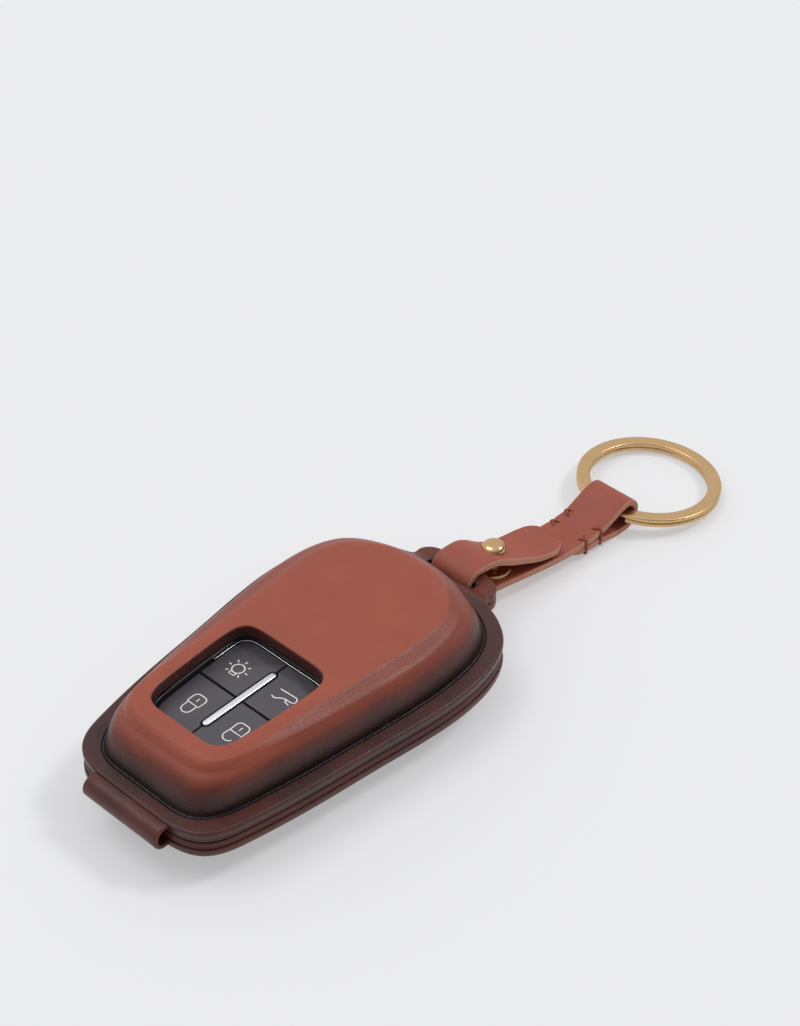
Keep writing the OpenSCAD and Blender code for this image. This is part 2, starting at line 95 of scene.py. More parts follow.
WINDOW_HALF = [(-29.1, 0), (-29.1, 2.5), (-29.1, 5), (-29, 7.3), (-28, 9.3), (-25.8, 10.4),
               (-22.5, 10.9), (-18.5, 11.2), (-14.5, 11.4), (-11, 11.6), (-7.5, 11.7), (-5, 11.6),
               (-3, 11.1), (-1.6, 9.8), (-1.1, 7.8), (-1, 5.9), (-1, 3.9), (-1, 1.9), (-1, 0)]
WELL_HALF = [(-27.1, 0), (-27.1, 6.6), (-26.4, 8.9), (-24.6, 9.8), (-14.3, 10.6), (-4.4, 11),
             (-2.5, 10.3), (-1.7, 8.2), (-1.7, 0)]

# Profiles: share of the foot outline and height above (or below) the flange
DOME_SIDE = [(1, 0), (0.987, 1.7), (0.97, 3.4), (0.95, 4.9), (0.922, 6.3), (0.885, 7.35)]
# Share of the way from shoulder to ridge, with heights along the sides and at the hinge end
DOME_FACET = [(0.22, 7.93, 8.06), (0.55, 8.4, 8.66), (0.85, 8.8, 9.0), (1.0, 9.04, 9.13)]
PLATEAU = [(0.8, 9.23, 9.25), (1.8, 9.3, 9.3)]
DOME_IN = [(0.91, -1.6), (0.9, 0.6), (0.88, 2.4), (0.852, 4), (0.815, 5.6), (0.77, 6.8),
           (0.72, 7.3), (0.68, 7.4)]
LINING_IN = [(0.875, -2.6), (0.865, 0.4), (0.846, 2), (0.82, 3.6), (0.785, 5), (0.742, 6.1),
             (0.7, 6.55), (0.66, 6.6)]
DISH_OUT = [(0.81, -6.3), (0.86, -6.05), (0.91, -5.1), (0.95, -3.6), (0.98, -1.8), (1, 0)]
DISH_IN = [(0.91, 1.6), (0.9, -0.5), (0.88, -2), (0.85, -3.3), (0.8, -4.3), (0.76, -4.5)]
DISH_LINING_IN = [(0.875, 3.3), (0.868, -0.3), (0.85, -1.6), (0.815, -2.8), (0.765, -3.6),
                  (0.72, -3.75)]
KEY_UP = [(0.85, 9.75), (0.848, 12), (0.832, 13.6), (0.808, 15.3), (0.78, 16.8), (0.75, 17.8),
          (0.715, 18.4)]

# Hinge, strap, stud and ring places
ROLL_X, ROLL_Z, ROLL_MIDDLE_R = -43.3, 9.4, 2.1
HINGE_WIDTH, HINGE_THICK, TONGUE_END = 20.2, 1.0, -40.1
STRAP_WIDTH, STRAP_THICK = 10.4, 1.5
BAR_X, BAR_Z, WRAP_R = 48.9, 8.5, 3.7
STRAP_ROUTE = [(48.9, 0, 4.8), (53, -0.4, 4.8), (58, -1.3, 4.7), (65, -2.7, 4.4), (72, -3.8, 4.1),
               (79, -4.4, 4), (83, -4.6, 4.4), (86.5, -4.7, 5.6), (89.5, -4.7, 6.75)]
FLAP_ROUTE = [(48.9, 0, 12.2), (51.6, -0.2, 12.1), (54.2, -0.5, 11.4), (57, -1.1, 9.9),
              (60, -1.7, 8.5), (64, -2.5, 7.5), (68, -3.2, 6.9), (72.9, -3.9, 6.3)]
TAIL_ROUTE = [(88.5, -4.7, 0.9), (85.5, -4.7, 1.6), (82, -4.6, 2.25), (78.5, -4.4, 2.4),
              (75.5, -4.1, 2.4)]
FOLD_X, FOLD_Y, FOLD_Z, FOLD_R = 91.6, -4.7, 3.9, 3.15
STITCH_X = (78.5, 83)
STUD_X, STUD_Y = 57.6, -1.2
BUTTON_TOP = 17.5
CROSS_X = -14.3
BAR_START, BAR_END = -23.7, -4.6

# Openings, gaps and thicknesses, in millimetres
SLOT_START, SLOT_END, SLOT_HALF_Y = 44.3, 47.1, 6.2
SCREW_HOLE_R, BUTTON_HOLE_R = 1.1, 1.55
UNDER_SHARE = 0.91
LINING_SHARE_GAP = 0.003
PLY_ROUND = [(0.25, 0.02), (0.07, 0.09), (0, 0.27)]
PLY_ROUND_BACK = [(0, 0.25), (0.07, 0.07), (0.25, 0)]
RING_MIDDLE_R, WIRE_WIDTH, WIRE_ROUND = 14.55, 2.9, 0.32
TURN_THICK, TURN_GAP = 1.0, 0.04
STUD_PROFILE = [(0.3, 5.56), (3.6, 5.56), (3.82, 5.62), (3.9, 5.8), (3.88, 6.05), (3.7, 6.28),
                (3.3, 6.36), (1.75, 6.38), (1.45, 6.5), (1.38, 6.9), (1.38, 10.1), (1.6, 10.38),
                (2.2, 10.52), (2.5, 10.72), (2.6, 11.05), (2.52, 11.5), (2.26, 11.95),
                (1.85, 12.25), (1.3, 12.42), (0.7, 12.49), (0.2, 12.5)]
KEY_MIDDLE = (-14.4, 0.0)
KEY_CLEARANCE, KEY_SKIN = 0.35, 0.055
SPINE = [(-27.6, -1), (-27.6, 1), (-0.9, 1), (-0.9, -1)]
BAR_HALF_WIDTH = 0.75
TRIM_START, TRIM_TOP = -10.2, 17.62
CAP_BOTTOM, CAP_ROUND, CAP_GAP, CROSS_GAP = 16.95, 0.13, 0.28, 0.26
STEM_SHARE, STEM_BOTTOM, STEM_TOP = 0.7, 15.4, 17.1

# Stage: floor and camera, in metres
FLOOR_HALF, FLOOR_Z = 2.5, -0.00005
CAMERA_PLACE = (-0.2355, -0.2505, 0.3430)
CAMERA_AHEAD, CAMERA_RIGHT = (0.5577, 0.5253, -0.6427), (0.6857, -0.7279, 0)
CAMERA_LENS, SENSOR_WIDTH = 109.57, 36


# ---------------------------------------------------------------- shapes

def spline(points, steps, closed=False):
    """A smooth curve through the points."""
    p = np.array(points, float)
    n = len(p)
    out = []
    for i in range(n if closed else n - 1):
        if closed:
            a, b, c, d = p[i - 1], p[i], p[(i + 1) % n], p[(i + 2) % n]
        else:
            a, b, c, d = p[max(i - 1, 0)], p[i], p[i + 1], p[min(i + 2, n - 1)]
        for s in range(steps):
            t = s / steps
            out.append(0.5 * (2 * b + (c - a) * t + (2 * a - 5 * b + 4 * c - d) * t * t
                              + (3 * b - a - 3 * c + d) * t ** 3))
    if not closed:
        out.append(p[-1])
    return np.array(out)


def smooth01(t):
    t = np.clip(t, 0, 1)
    return t * t * (3 - 2 * t)


def plan(half, steps=STEPS, calm=6):
    """The whole outline from its half, with its bumps calmed."""
    whole = list(half) + [(x, -y) for x, y in half[-2:0:-1]]
    p = spline(whole, steps, True)
    for _ in range(calm):
        p = (np.roll(p, 1, 0) + 2 * p + np.roll(p, -1, 0)) / 4
    return p


def offset(outline, distance):
    """The outline moved outwards by a distance."""
    ahead = np.roll(outline, -1, 0) - np.roll(outline, 1, 0)
    out = np.stack([-ahead[:, 1], ahead[:, 0]], 1)
    return outline + out / np.linalg.norm(out, axis=1)[:, None] * distance


def scaled(outline, share):
    return (outline - [FOOT_MIDDLE, 0]) * share + [FOOT_MIDDLE, 0]


def at(outline, z):
    return np.column_stack([outline, np.full(len(outline), z)])


def dropping(outline, z, tab_z):
    """An outline that leaves its height for the tab's."""
    t = smooth01((outline[:, 0] - TAB_START) / (TAB_FULL - TAB_START))
    return np.column_stack([outline, z + (tab_z - z) * t])


FLANGE, BODY, FOOT, RIDGE, WINDOW = (
    plan(half) for half in (FLANGE_HALF, BODY_HALF, FOOT_HALF, RIDGE_HALF, WINDOW_HALF))


def beside_window(ring, out):
    """A ring held outside the hinge end of the window."""
    wanted = np.minimum(ring[:, 0], WINDOW[:, 0] - out)
    t = smooth01((-24 - WINDOW[:, 0]) / 4)
    return np.column_stack([ring[:, 0] + (wanted - ring[:, 0]) * t, ring[:, 1]])


def dome_rings(profile, base, steps=5, out=0.1, growth=5):
    curve = spline(profile, steps)
    least = curve[-1, 0]
    return [(at(beside_window(scaled(FOOT, f), out + growth * (f - least)), base + h), h)
            for f, h in curve]


def dish_rings(profile, base, steps=5):
    return [(at(scaled(FOOT, f), max(0.0, base + h)), h) for f, h in spline(profile, steps)]


def in_scene(name, mesh):
    obj = bpy.data.objects.new(name, mesh)
    bpy.context.scene.collection.objects.link(obj)
    return obj


def finished(obj, angle=38):
    """Smooth shading that keeps the real arrises."""
    obj.data.shade_smooth()
    obj.data.set_sharp_from_angle(angle=math.radians(angle))
    return obj


def mesh_object(name, verts, faces, masks=None, angle=38):
    """A closed mesh in millimetres as an object in metres, with its faces outwards."""
    v = np.asarray(verts, float)
    volume = 0.0
    for f in faces:
        a = v[f[0]]
        for i in range(1, len(f) - 1):
            volume += np.dot(a, np.cross(v[f[i]], v[f[i + 1]]))
    if volume < 0:
        faces = [tuple(f)[::-1] for f in faces]
    mesh = bpy.data.meshes.new(name)
    mesh.from_pydata((v * MM).tolist(), [], faces)
    for key, values in (masks or {}).items():
        layer = mesh.attributes.new(key, "FLOAT", "POINT")
        layer.data.foreach_set("value", np.asarray(values, np.float32))
    return finished(in_scene(name, mesh), angle)


def loft(name, rings, wrap=False, masks=None, angle=38):
    """A skin through rings of equally many points, closed on itself or with two flat ends."""
    n, m = len(rings[0]), len(rings)
    faces = []
    for k in range(m if wrap else m - 1):
        a, b = k * n, (k + 1) % m * n
        faces += [(a + i, a + (i + 1) % n, b + (i + 1) % n, b + i) for i in range(n)]
    if not wrap:
        faces += [tuple(range(n))[::-1], tuple(range((m - 1) * n, m * n))]
    masks = {k: np.concatenate([np.broadcast_to(v, n) for v in values])
             for k, values in (masks or {}).items()}
    return mesh_object(name, np.concatenate(rings), faces, masks, angle)


def lathe(name, profile, x, y, steps=3, around=72, angle=38):
    """A turned piece: radius and height pairs about an upright axis."""
    turns = np.linspace(0, 2 * math.pi, around, endpoint=False)
    circle = np.column_stack([np.cos(turns), np.sin(turns)])
    rings = [at(circle * r + [x, y], z) for r, z in spline(profile, steps)]
    return loft(name, rings, angle=angle)


def extruded(name, outline, low, high, edge, angle=38):
    """A flat plate with rounded upper and lower edges."""
    rings = []
    for start, side, degrees in ((low, 1, (0, 30, 60, 90)), (high, -1, (90, 60, 30, 0))):
        for a in map(math.radians, degrees):
            rings.append(at(offset(outline, edge * math.sin(a) - edge),
                            start + side * (edge - edge * math.cos(a))))
    return loft(name, rings, angle=angle)


def result_of(obj):
    """The mesh that an object's modifiers make."""
    bpy.context.view_layer.update()
    ready = obj.evaluated_get(bpy.context.evaluated_depsgraph_get())
    return bpy.data.meshes.new_from_object(ready)


def modified(obj, kind, **settings):
    """The object with one modifier's result as its mesh."""
    modifier = obj.modifiers.new(kind.title(), kind)
    for key, value in settings.items():
        setattr(modifier, key, value)
    mesh = result_of(obj)
    obj.modifiers.clear()
    obj.data = mesh
    return obj


def cut(obj, cutter):
    modified(obj, "BOOLEAN", object=cutter, operation="DIFFERENCE", solver="EXACT")
    bpy.data.objects.remove(cutter)
    return finished(obj)


def stadium(x0, x1, half_y, around=12):
    """A closed outline with round ends along Y, clockwise from above."""
    r = (x1 - x0) / 2
    mid = (x0 + x1) / 2
    return np.array([(mid - side * r * math.cos(a), side * (half_y - r + r * math.sin(a)))
                     for side in (1, -1) for a in np.linspace(0, math.pi, around)])


def section(width, thick, r, across=10):
    """A strip's cross-section: place across, place through, and share of cut edge."""
    hw, ht = width / 2, thick / 2
    r = min(r, ht * 0.98)
    out = []
    for side in (1, -1):
        for k in range(across + 1):
            out.append((side * (-(hw - r) + 2 * (hw - r) * k / across), side * ht, 0.0))
        for deg, edge in ((60, 0.5), (30, 1), (0, 1), (0, 1), (-30, 1), (-60, 0.5)):
            a = math.radians(deg)
            lift = (ht - r) if deg > 0 or (deg == 0 and len(out) % 2 == 0) else -(ht - r)
            out.append((side * (hw - r + r * math.cos(a)), side * (lift + r * math.sin(a)), edge))
    return out


def along(path, places):
    """Points at the given distances along a path."""
    steps = np.linalg.norm(np.diff(path, axis=0), axis=1)
    s = np.concatenate([[0], np.cumsum(steps)])
    return np.column_stack([np.interp(places, s, path[:, k]) for k in range(3)])


def length_of(path):
    return float(np.linalg.norm(np.diff(path, axis=0), axis=1).sum())


def strip(name, path, width, thick, first, roll=None, pinch=None, corner=0.3,
          end_length=3.4, tip=0.4, angle=50):
    """A strip of leather along a path to a round end, with a mask for its cut edges."""
    total = length_of(path)
    places = list(np.arange(0, total - end_length, 0.5))
    places += list(total - end_length + end_length * np.sin(np.linspace(0, math.pi / 2, 14)))
    places[-1] = total - corner
    extra = [(total - corner + corner * math.sin(a), corner * (1 - math.cos(a)), 1.0)
             for a in map(math.radians, (35, 65, 90))]
    stations = [(s, 0.0, 0.0) for s in places] + extra
    points = along(path, [s for s, _, _ in stations])
    ahead = np.gradient(along(path, places), axis=0)
    ahead = np.vstack([ahead] + [ahead[-1:]] * len(extra))
    ahead[0] = first
    rings, edges = [], []
    for (s, cut_in, is_end), p, d in zip(stations, points, ahead):
        d = d / np.linalg.norm(d)
        slope = d[1] / d[0] if abs(d[0]) > 0.5 else 0.0
        side = np.array([-slope, 1, 0]) / math.hypot(slope, 1)
        up = np.cross(d, side)
        up /= np.linalg.norm(up)
        if roll is not None:
            a = roll(p)
            side, up = side * math.cos(a) - up * math.sin(a), up * math.cos(a) + side * math.sin(a)
        u = np.clip((s - (total - end_length)) / end_length, 0, 1)
        w = width * (tip + (1 - tip) * math.sqrt(max(0.0, 1 - u * u)))
        if pinch is not None:
            w -= pinch(p)
        parts = section(w - 2 * cut_in, thick - 2 * cut_in, corner * (1 - cut_in / corner * 0.98))
        rings.append(np.array([p + side * u + up * v for u, v, _ in parts]))
        edges.append(np.array([max(e, is_end) for _, _, e in parts]))
    return loft(name, rings, masks={"edge": edges}, angle=angle)


# ---------------------------------------------------------------- node trees

def node(tree, kind, inputs=None, **settings):
    """A new node. An input given a socket is linked to it."""
    made = tree.nodes.new(kind)
    for key, value in settings.items():
        setattr(made, key, value)
    for key, value in (inputs or {}).items():
        if isinstance(value, bpy.types.NodeSocket):
            tree.links.new(value, made.inputs[key])
        else:
            made.inputs[key].default_value = value
    return made


def math_node(tree, operation, a, b=0.0, clamp=False):
    return node(tree, "ShaderNodeMath", {0: a, 1: b}, operation=operation, use_clamp=clamp).outputs[0]


def times(tree, a, b):
    return math_node(tree, "MULTIPLY", a, b)


def plus(tree, a, b, clamp=False):
    return math_node(tree, "ADD", a, b, clamp)


def noise(tree, place, scale, detail=2.0, roughness=0.5, distortion=0.0):
    return node(tree, "ShaderNodeTexNoise", {
        "Vector": place, "Scale": scale, "Detail": detail, "Roughness": roughness,
        "Distortion": distortion}).outputs["Fac"]


def ranged(tree, value, low, high, to_low, to_high, kind="LINEAR"):
    return node(tree, "ShaderNodeMapRange", {0: value, 1: low, 2: high, 3: to_low, 4: to_high},
                interpolation_type=kind, clamp=True).outputs[0]


def mixed(tree, factor, a, b, blend="MIX"):
    made = node(tree, "ShaderNodeMix", data_type="RGBA", blend_type=blend, clamp_factor=True)
    for index, value in ((0, factor), (6, a), (7, b)):
        if isinstance(value, bpy.types.NodeSocket):
            tree.links.new(value, made.inputs[index])
        elif index:
            made.inputs[index].default_value = (*value[:3], 1)
        else:
            made.inputs[index].default_value = value
    return made.outputs[2]


def new_group(name, kind, inputs, outputs):
    tree = bpy.data.node_groups.new(name, kind)
    for title, socket, default in inputs:
        made = tree.interface.new_socket(title, in_out="INPUT", socket_type=socket)
        if default is not None:
            made.default_value = default
    for title, socket in outputs:
        tree.interface.new_socket(title, in_out="OUTPUT", socket_type=socket)
    return tree, tree.nodes.new("NodeGroupInput").outputs, tree.nodes.new("NodeGroupOutput").inputs


def leather_grain_group():
    """Pores, creases and cloudy colour of calf leather."""
    tree, given, out = new_group(
        "Leather grain", "ShaderNodeTree",
        [("Vector", "NodeSocketVector", None), ("Pore scale", "NodeSocketFloat", 3200.0),
         ("Cloud scale", "NodeSocketFloat", 90.0), ("Crease", "NodeSocketFloat", 0.4)],
        [("Height", "NodeSocketFloat"), ("Cloud", "NodeSocketFloat"), ("Pores", "NodeSocketFloat")])
    pores = node(tree, "ShaderNodeTexVoronoi", {
        "Vector": given["Vector"], "Scale": given["Pore scale"]}, feature="F1")
    cells = ranged(tree, pores.outputs["Distance"], 0.05, 0.6, 0.0, 1.0, "SMOOTHSTEP")
    place, cloud_scale = given["Vector"], given["Cloud scale"]
    fine = noise(tree, place, times(tree, given["Pore scale"], 0.45), 4.0, 0.6)
    creases = noise(tree, place, times(tree, cloud_scale, 6.0), 3.0, 0.55, 1.2)
    cloud = noise(tree, place, cloud_scale, 5.0, 0.62)
    raised = plus(tree, times(tree, cells, 0.45), times(tree, fine, 0.75))
    folded = plus(tree, raised, times(tree, creases, given["Crease"]))
    tree.links.new(folded, out["Height"])
    tree.links.new(ranged(tree, cloud, 0.32, 0.68, 0.0, 1.0), out["Cloud"])
    tree.links.new(cells, out["Pores"])
    return tree


def handled_group():
    """Hairline marks and finger smudges on hard surfaces."""
    tree, given, out = new_group(
        "Handled surface", "ShaderNodeTree",
        [("Vector", "NodeSocketVector", None), ("Smudge scale", "NodeSocketFloat", 160.0),
         ("Hairline scale", "NodeSocketFloat", 2600.0)],
        [("Smudge", "NodeSocketFloat"), ("Hairlines", "NodeSocketFloat")])
    smudge = noise(tree, given["Vector"], given["Smudge scale"], 4.0, 0.6, 0.6)
    stretched = node(tree, "ShaderNodeVectorMath",
                     {0: given["Vector"], 1: (0.12, 1.0, 0.6)}, operation="MULTIPLY").outputs[0]
    lines = noise(tree, stretched, given["Hairline scale"])
    tree.links.new(ranged(tree, smudge, 0.35, 0.7, 0.0, 1.0), out["Smudge"])
    tree.links.new(lines, out["Hairlines"])
    return tree


def shared_group(name):
    if name not in bpy.data.node_groups:
        {"Leather grain": leather_grain_group, "Handled surface": handled_group}[name]()
    return bpy.data.node_groups[name]


def new_material(name):
    """An empty material with its surface shader and object coordinates."""
    material = bpy.data.materials.new(name)
    material.use_nodes = True
    tree = material.node_tree
    surface = next(n for n in tree.nodes if n.type == "BSDF_PRINCIPLED")
    place = node(tree, "ShaderNodeTexCoord").outputs["Object"]
    return material, tree, surface, place


def bumped(tree, surface, height, strength, distance):
    bump = node(tree, "ShaderNodeBump", {"Strength": strength, "Distance": distance, "Height": height})
    tree.links.new(bump.outputs["Normal"], surface.inputs["Normal"])


def leather_material(name, pale, mid, dark, darkest, mask="burnish_and_shade", roughness=0.42, glossy=0.3,
                     pore_scale=3200.0, cloud_scale=90.0, relief=0.5):
    """Leather whose colour runs from pale to dark by a mask on the mesh: real burnish plus painted
    shade on the shells, cut edges on the strap.
    """
    material, tree, surface, place = new_material(name)
    grain = node(tree, "ShaderNodeGroup", {}, node_tree=shared_group("Leather grain"))
    tree.links.new(place, grain.inputs["Vector"])
    grain.inputs["Pore scale"].default_value = pore_scale
    grain.inputs["Cloud scale"].default_value = cloud_scale
    # The mask holds real burnish and painted shade on the shells, and the cut edges on the strap.
    ramp_mask = node(tree, "ShaderNodeAttribute", attribute_name=mask).outputs["Fac"]
    shift = times(tree, math_node(tree, "SUBTRACT", grain.outputs["Cloud"], 0.5), 0.16)
    bite = times(tree, ramp_mask, math_node(tree, "SUBTRACT", 1.05, ramp_mask))
    cloudy = plus(tree, ramp_mask, times(tree, times(tree, shift, 6.0), bite), clamp=True)
    ramp = node(tree, "ShaderNodeValToRGB", {"Fac": cloudy})
    stops = ramp.color_ramp.elements
    stops[0].color, stops[-1].color = (*pale, 1), (*darkest, 1)
    for share, colour in ((0.36, mid), (0.68, dark)):
        stops.new(share).color = (*colour, 1)
    tone = ranged(tree, grain.outputs["Cloud"], 0.0, 1.0, 0.93, 1.06)
    pored = ranged(tree, grain.outputs["Pores"], 0.0, 1.0, 0.95, 1.02)
    shade = times(tree, tone, pored)
    grey = node(tree, "ShaderNodeCombineColor", {0: shade, 1: shade, 2: shade}).outputs[0]
    tree.links.new(mixed(tree, 1.0, ramp.outputs["Color"], grey, "MULTIPLY"),
                   surface.inputs["Base Color"])
    rough = ranged(tree, ramp_mask, 0.0, 0.8, roughness, glossy)
    rough = plus(tree, rough, times(tree, shift, 0.35))
    tree.links.new(rough, surface.inputs["Roughness"])
    surface.inputs["Specular IOR Level"].default_value = 0.36
    bumped(tree, surface, grain.outputs["Height"], relief, 0.0001)
    return material


def hard_material(name, colour, roughness, metallic=0.0, smudge=0.06, relief=0.02, hairline=2600.0,
                  tint=0.08, coat=0.0):
    """Metal or plastic with hairlines and smudges."""
    material, tree, surface, place = new_material(name)
    marks = node(tree, "ShaderNodeGroup", {}, node_tree=shared_group("Handled surface"))
    tree.links.new(place, marks.inputs["Vector"])
    marks.inputs["Hairline scale"].default_value = hairline
    low = tuple(c * (1 - tint) for c in colour)
    tree.links.new(mixed(tree, marks.outputs["Smudge"], colour, low), surface.inputs["Base Color"])
    rough = plus(tree, times(tree, marks.outputs["Smudge"], smudge), roughness)
    tree.links.new(rough, surface.inputs["Roughness"])
    surface.inputs["Metallic"].default_value = metallic
    surface.inputs["Coat Weight"].default_value = coat
    bumped(tree, surface, marks.outputs["Hairlines"], relief, 0.00003)
    return material


def thread_material(name, colour):
    """Waxed thread with its lay showing."""
    material, tree, surface, place = new_material(name)
    lay = node(tree, "ShaderNodeTexWave", {
        "Vector": place, "Scale": 900.0, "Distortion": 2.0, "Detail": 2.0},
        bands_direction="DIAGONAL").outputs["Fac"]
    dark = tuple(c * 0.45 for c in colour)
    tree.links.new(mixed(tree, lay, dark, colour), surface.inputs["Base Color"])
    surface.inputs["Roughness"].default_value = 0.55
    bumped(tree, surface, lay, 0.5, 0.00012)
    return material


def shown(tree, geometry, given, out):
    """A tree's geometry with smooth shading and its material, as its output."""
    smooth = node(tree, "GeometryNodeSetShadeSmooth", {"Geometry": geometry}).outputs[0]
    real = node(tree, "GeometryNodeRealizeInstances", {"Geometry": smooth}).outputs[0]
    made = node(tree, "GeometryNodeSetMaterial", {
        "Geometry": real, "Material": given["Material"]}).outputs[0]
    tree.links.new(made, out["Geometry"])
    return tree


def bead_tree():
    """A bead of round or flattened section along each line of the given mesh."""
    tree, given, out = new_group(
        "Bead along lines", "GeometryNodeTree",
        [("Geometry", "NodeSocketGeometry", None), ("Bead radius", "NodeSocketFloat", 0.0002),
         ("Sides", "NodeSocketInt", 10), ("Flatness", "NodeSocketFloat", 1.0),
         ("Lift", "NodeSocketFloat", 0.0), ("Material", "NodeSocketMaterial", None)],
        [("Geometry", "NodeSocketGeometry")])
    lines = node(tree, "GeometryNodeMeshToCurve", {"Mesh": given["Geometry"]}).outputs[0]
    circle = node(tree, "GeometryNodeCurvePrimitiveCircle",
                  {"Resolution": given["Sides"], "Radius": given["Bead radius"]}).outputs[0]
    bead = node(tree, "GeometryNodeCurveToMesh", {
        "Curve": lines, "Profile Curve": circle, "Fill Caps": True}).outputs[0]
    flat = node(tree, "ShaderNodeCombineXYZ", {0: 1.0, 1: 1.0, 2: given["Flatness"]}).outputs[0]
    up = node(tree, "ShaderNodeCombineXYZ", {2: given["Lift"]}).outputs[0]
    moved = node(tree, "GeometryNodeTransform", {
        "Geometry": bead, "Scale": flat, "Translation": up}).outputs[0]
    return shown(tree, moved, given, out)


def coil_tree():
    """A split ring: two flat turns joined by a short ramp, leaning about one edge."""
    tree, given, out = new_group(
        "Split ring coil", "GeometryNodeTree",
        [("Middle radius", "NodeSocketFloat", 0.01455), ("Wire width", "NodeSocketFloat", 0.0029),
         ("Turn thickness", "NodeSocketFloat", 0.001), ("Turn gap", "NodeSocketFloat", 0.00004),
         ("Corner radius", "NodeSocketFloat", 0.0003), ("Ramp half angle", "NodeSocketFloat", 0.314),
         ("Steps", "NodeSocketInt", 420), ("Lean", "NodeSocketFloat", 0.09),
         ("Place", "NodeSocketVector", (0, 0, 0)), ("Material", "NodeSocketMaterial", None)],
        [("Geometry", "NodeSocketGeometry")])
    line = node(tree, "GeometryNodeCurvePrimitiveLine").outputs[0]
    count = node(tree, "GeometryNodeResampleCurve", {"Curve": line, "Count": given["Steps"]}).outputs[0]
    share = node(tree, "GeometryNodeSplineParameter").outputs["Factor"]
    ramp, radius = given["Ramp half angle"], given["Middle radius"]
    start = plus(tree, ramp, 0.035)
    end = math_node(tree, "SUBTRACT", 4 * math.pi, start)
    angle = node(tree, "ShaderNodeMapRange", {0: share, 3: start, 4: end}).outputs[0]
    x = math_node(tree, "SUBTRACT", radius, times(tree, radius, math_node(tree, "COSINE", angle)))
    y = times(tree, times(tree, radius, -1.0), math_node(tree, "SINE", angle))
    half = times(tree, plus(tree, given["Turn thickness"], given["Turn gap"]), 0.5)
    z = node(tree, "ShaderNodeMapRange", {
        0: angle, 1: math_node(tree, "SUBTRACT", 2 * math.pi, ramp), 2: plus(tree, 2 * math.pi, ramp),
        3: times(tree, half, -1.0), 4: half},
        interpolation_type="SMOOTHSTEP").outputs[0]
    spot = node(tree, "ShaderNodeCombineXYZ", {0: x, 1: y, 2: z}).outputs[0]
    coil = node(tree, "GeometryNodeSetPosition", {"Geometry": count, "Position": spot}).outputs[0]
    level = node(tree, "GeometryNodeSetCurveNormal", {"Curve": coil}, mode="Z_UP").outputs[0]
    box = node(tree, "GeometryNodeCurvePrimitiveQuadrilateral", {
        "Width": given["Wire width"], "Height": given["Turn thickness"]}).outputs[0]
    rounded = node(tree, "GeometryNodeFilletCurve", {
        "Curve": box, "Count": 4, "Radius": given["Corner radius"], "Limit Radius": True},
        mode="POLY").outputs[0]
    wire = node(tree, "GeometryNodeCurveToMesh", {
        "Curve": level, "Profile Curve": rounded, "Fill Caps": True}).outputs[0]
    turn = node(tree, "ShaderNodeCombineXYZ", {1: given["Lean"]}).outputs[0]
    laid = node(tree, "GeometryNodeTransform", {
        "Geometry": wire, "Rotation": turn, "Translation": given["Place"]}).outputs[0]
    return shown(tree, laid, given, out)


def grown(name, tree, lines=None, **values):
    """What a Geometry Nodes tree makes, as a plain mesh. Lines are lists of points in millimetres."""
    mesh = bpy.data.meshes.new(name)
    if lines is not None:
        points, edges = [], []
        for line in lines:
            edges += [(len(points) + i, len(points) + i + 1) for i in range(len(line) - 1)]
            points += [tuple(np.asarray(p, float) * MM) for p in line]
        mesh.from_pydata(points, edges, [])
    obj = in_scene(name, mesh)
    modifier = obj.modifiers.new("Tree", "NODES")
    modifier.node_group = tree
    for item in tree.interface.items_tree:
        title = item.name.replace(" ", "_").lower()
        if item.item_type == "SOCKET" and item.in_out == "INPUT" and title in values:
            modifier[item.identifier] = values[title]
    result = result_of(obj)
    obj.modifiers.remove(modifier)
    obj.data = result
    return obj


def linear(r, g, b):
    """A colour as seen on a screen, as light."""
    return tuple(((c / 255 + 0.055) / 1.055) ** 2.4 if c > 10 else c / 255 / 12.92
                 for c in (r, g, b))


def dressed(obj, material):
    """One material on a piece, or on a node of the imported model."""
    if obj.material_slots:
        for slot in obj.material_slots:
            slot.material = material
    else:
        obj.data.materials.append(material)
    return obj


def placed(obj, material, body, slot, *nodes):
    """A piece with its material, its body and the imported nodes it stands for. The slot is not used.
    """
    dressed(obj, material)
    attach(obj, body)
    if nodes:
        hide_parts(*nodes)
    return obj


# ---------------------------------------------------------------- settings

def length_property(name, description, default, low, high):
    return FloatProperty(name=name, description=description, default=default, min=low, max=high,
                         unit="LENGTH", subtype="DISTANCE")


class KeyCaseSizes(bpy.types.PropertyGroup):
    """Sizes that a maker would change."""

    edge_round: length_property(
        "Flange edge rounding", "Radius of the burnished flange arrises", 0.00045, 0.0001, 0.0007)
    ply_inset: length_property(
        "Ply inset", "How far the lining plies stand back in the flange edge", 0.0003, 0, 0.0006)
    window_round: length_property(
        "Window lip rounding", "Radius of the lip round the button window", 0.00045, 0.0002, 0.001)
    near_edge_lift: FloatProperty(
        name="Flap twist", description="How far the flap leans over the stud's base",
        default=math.radians(11), min=0, max=math.radians(20), subtype="ANGLE")
    thread_radius: length_property(
        "Thread radius", "Half the thickness of the stitching thread", 0.00026, 0.0001, 0.0004)
    symbol_line: length_property(
        "Symbol line", "Half the width of the lines printed on the buttons", 0.00014, 0.00005, 0.0003)
    ring_steps: IntProperty(
        name="Ring steps", description="Sections along the split ring's two turns",
        default=420, min=60, max=900)


def colour_property(name, description, default):
    return FloatVectorProperty(name=name, description=description, default=default, size=3,
                               min=0, max=1, subtype="COLOR")


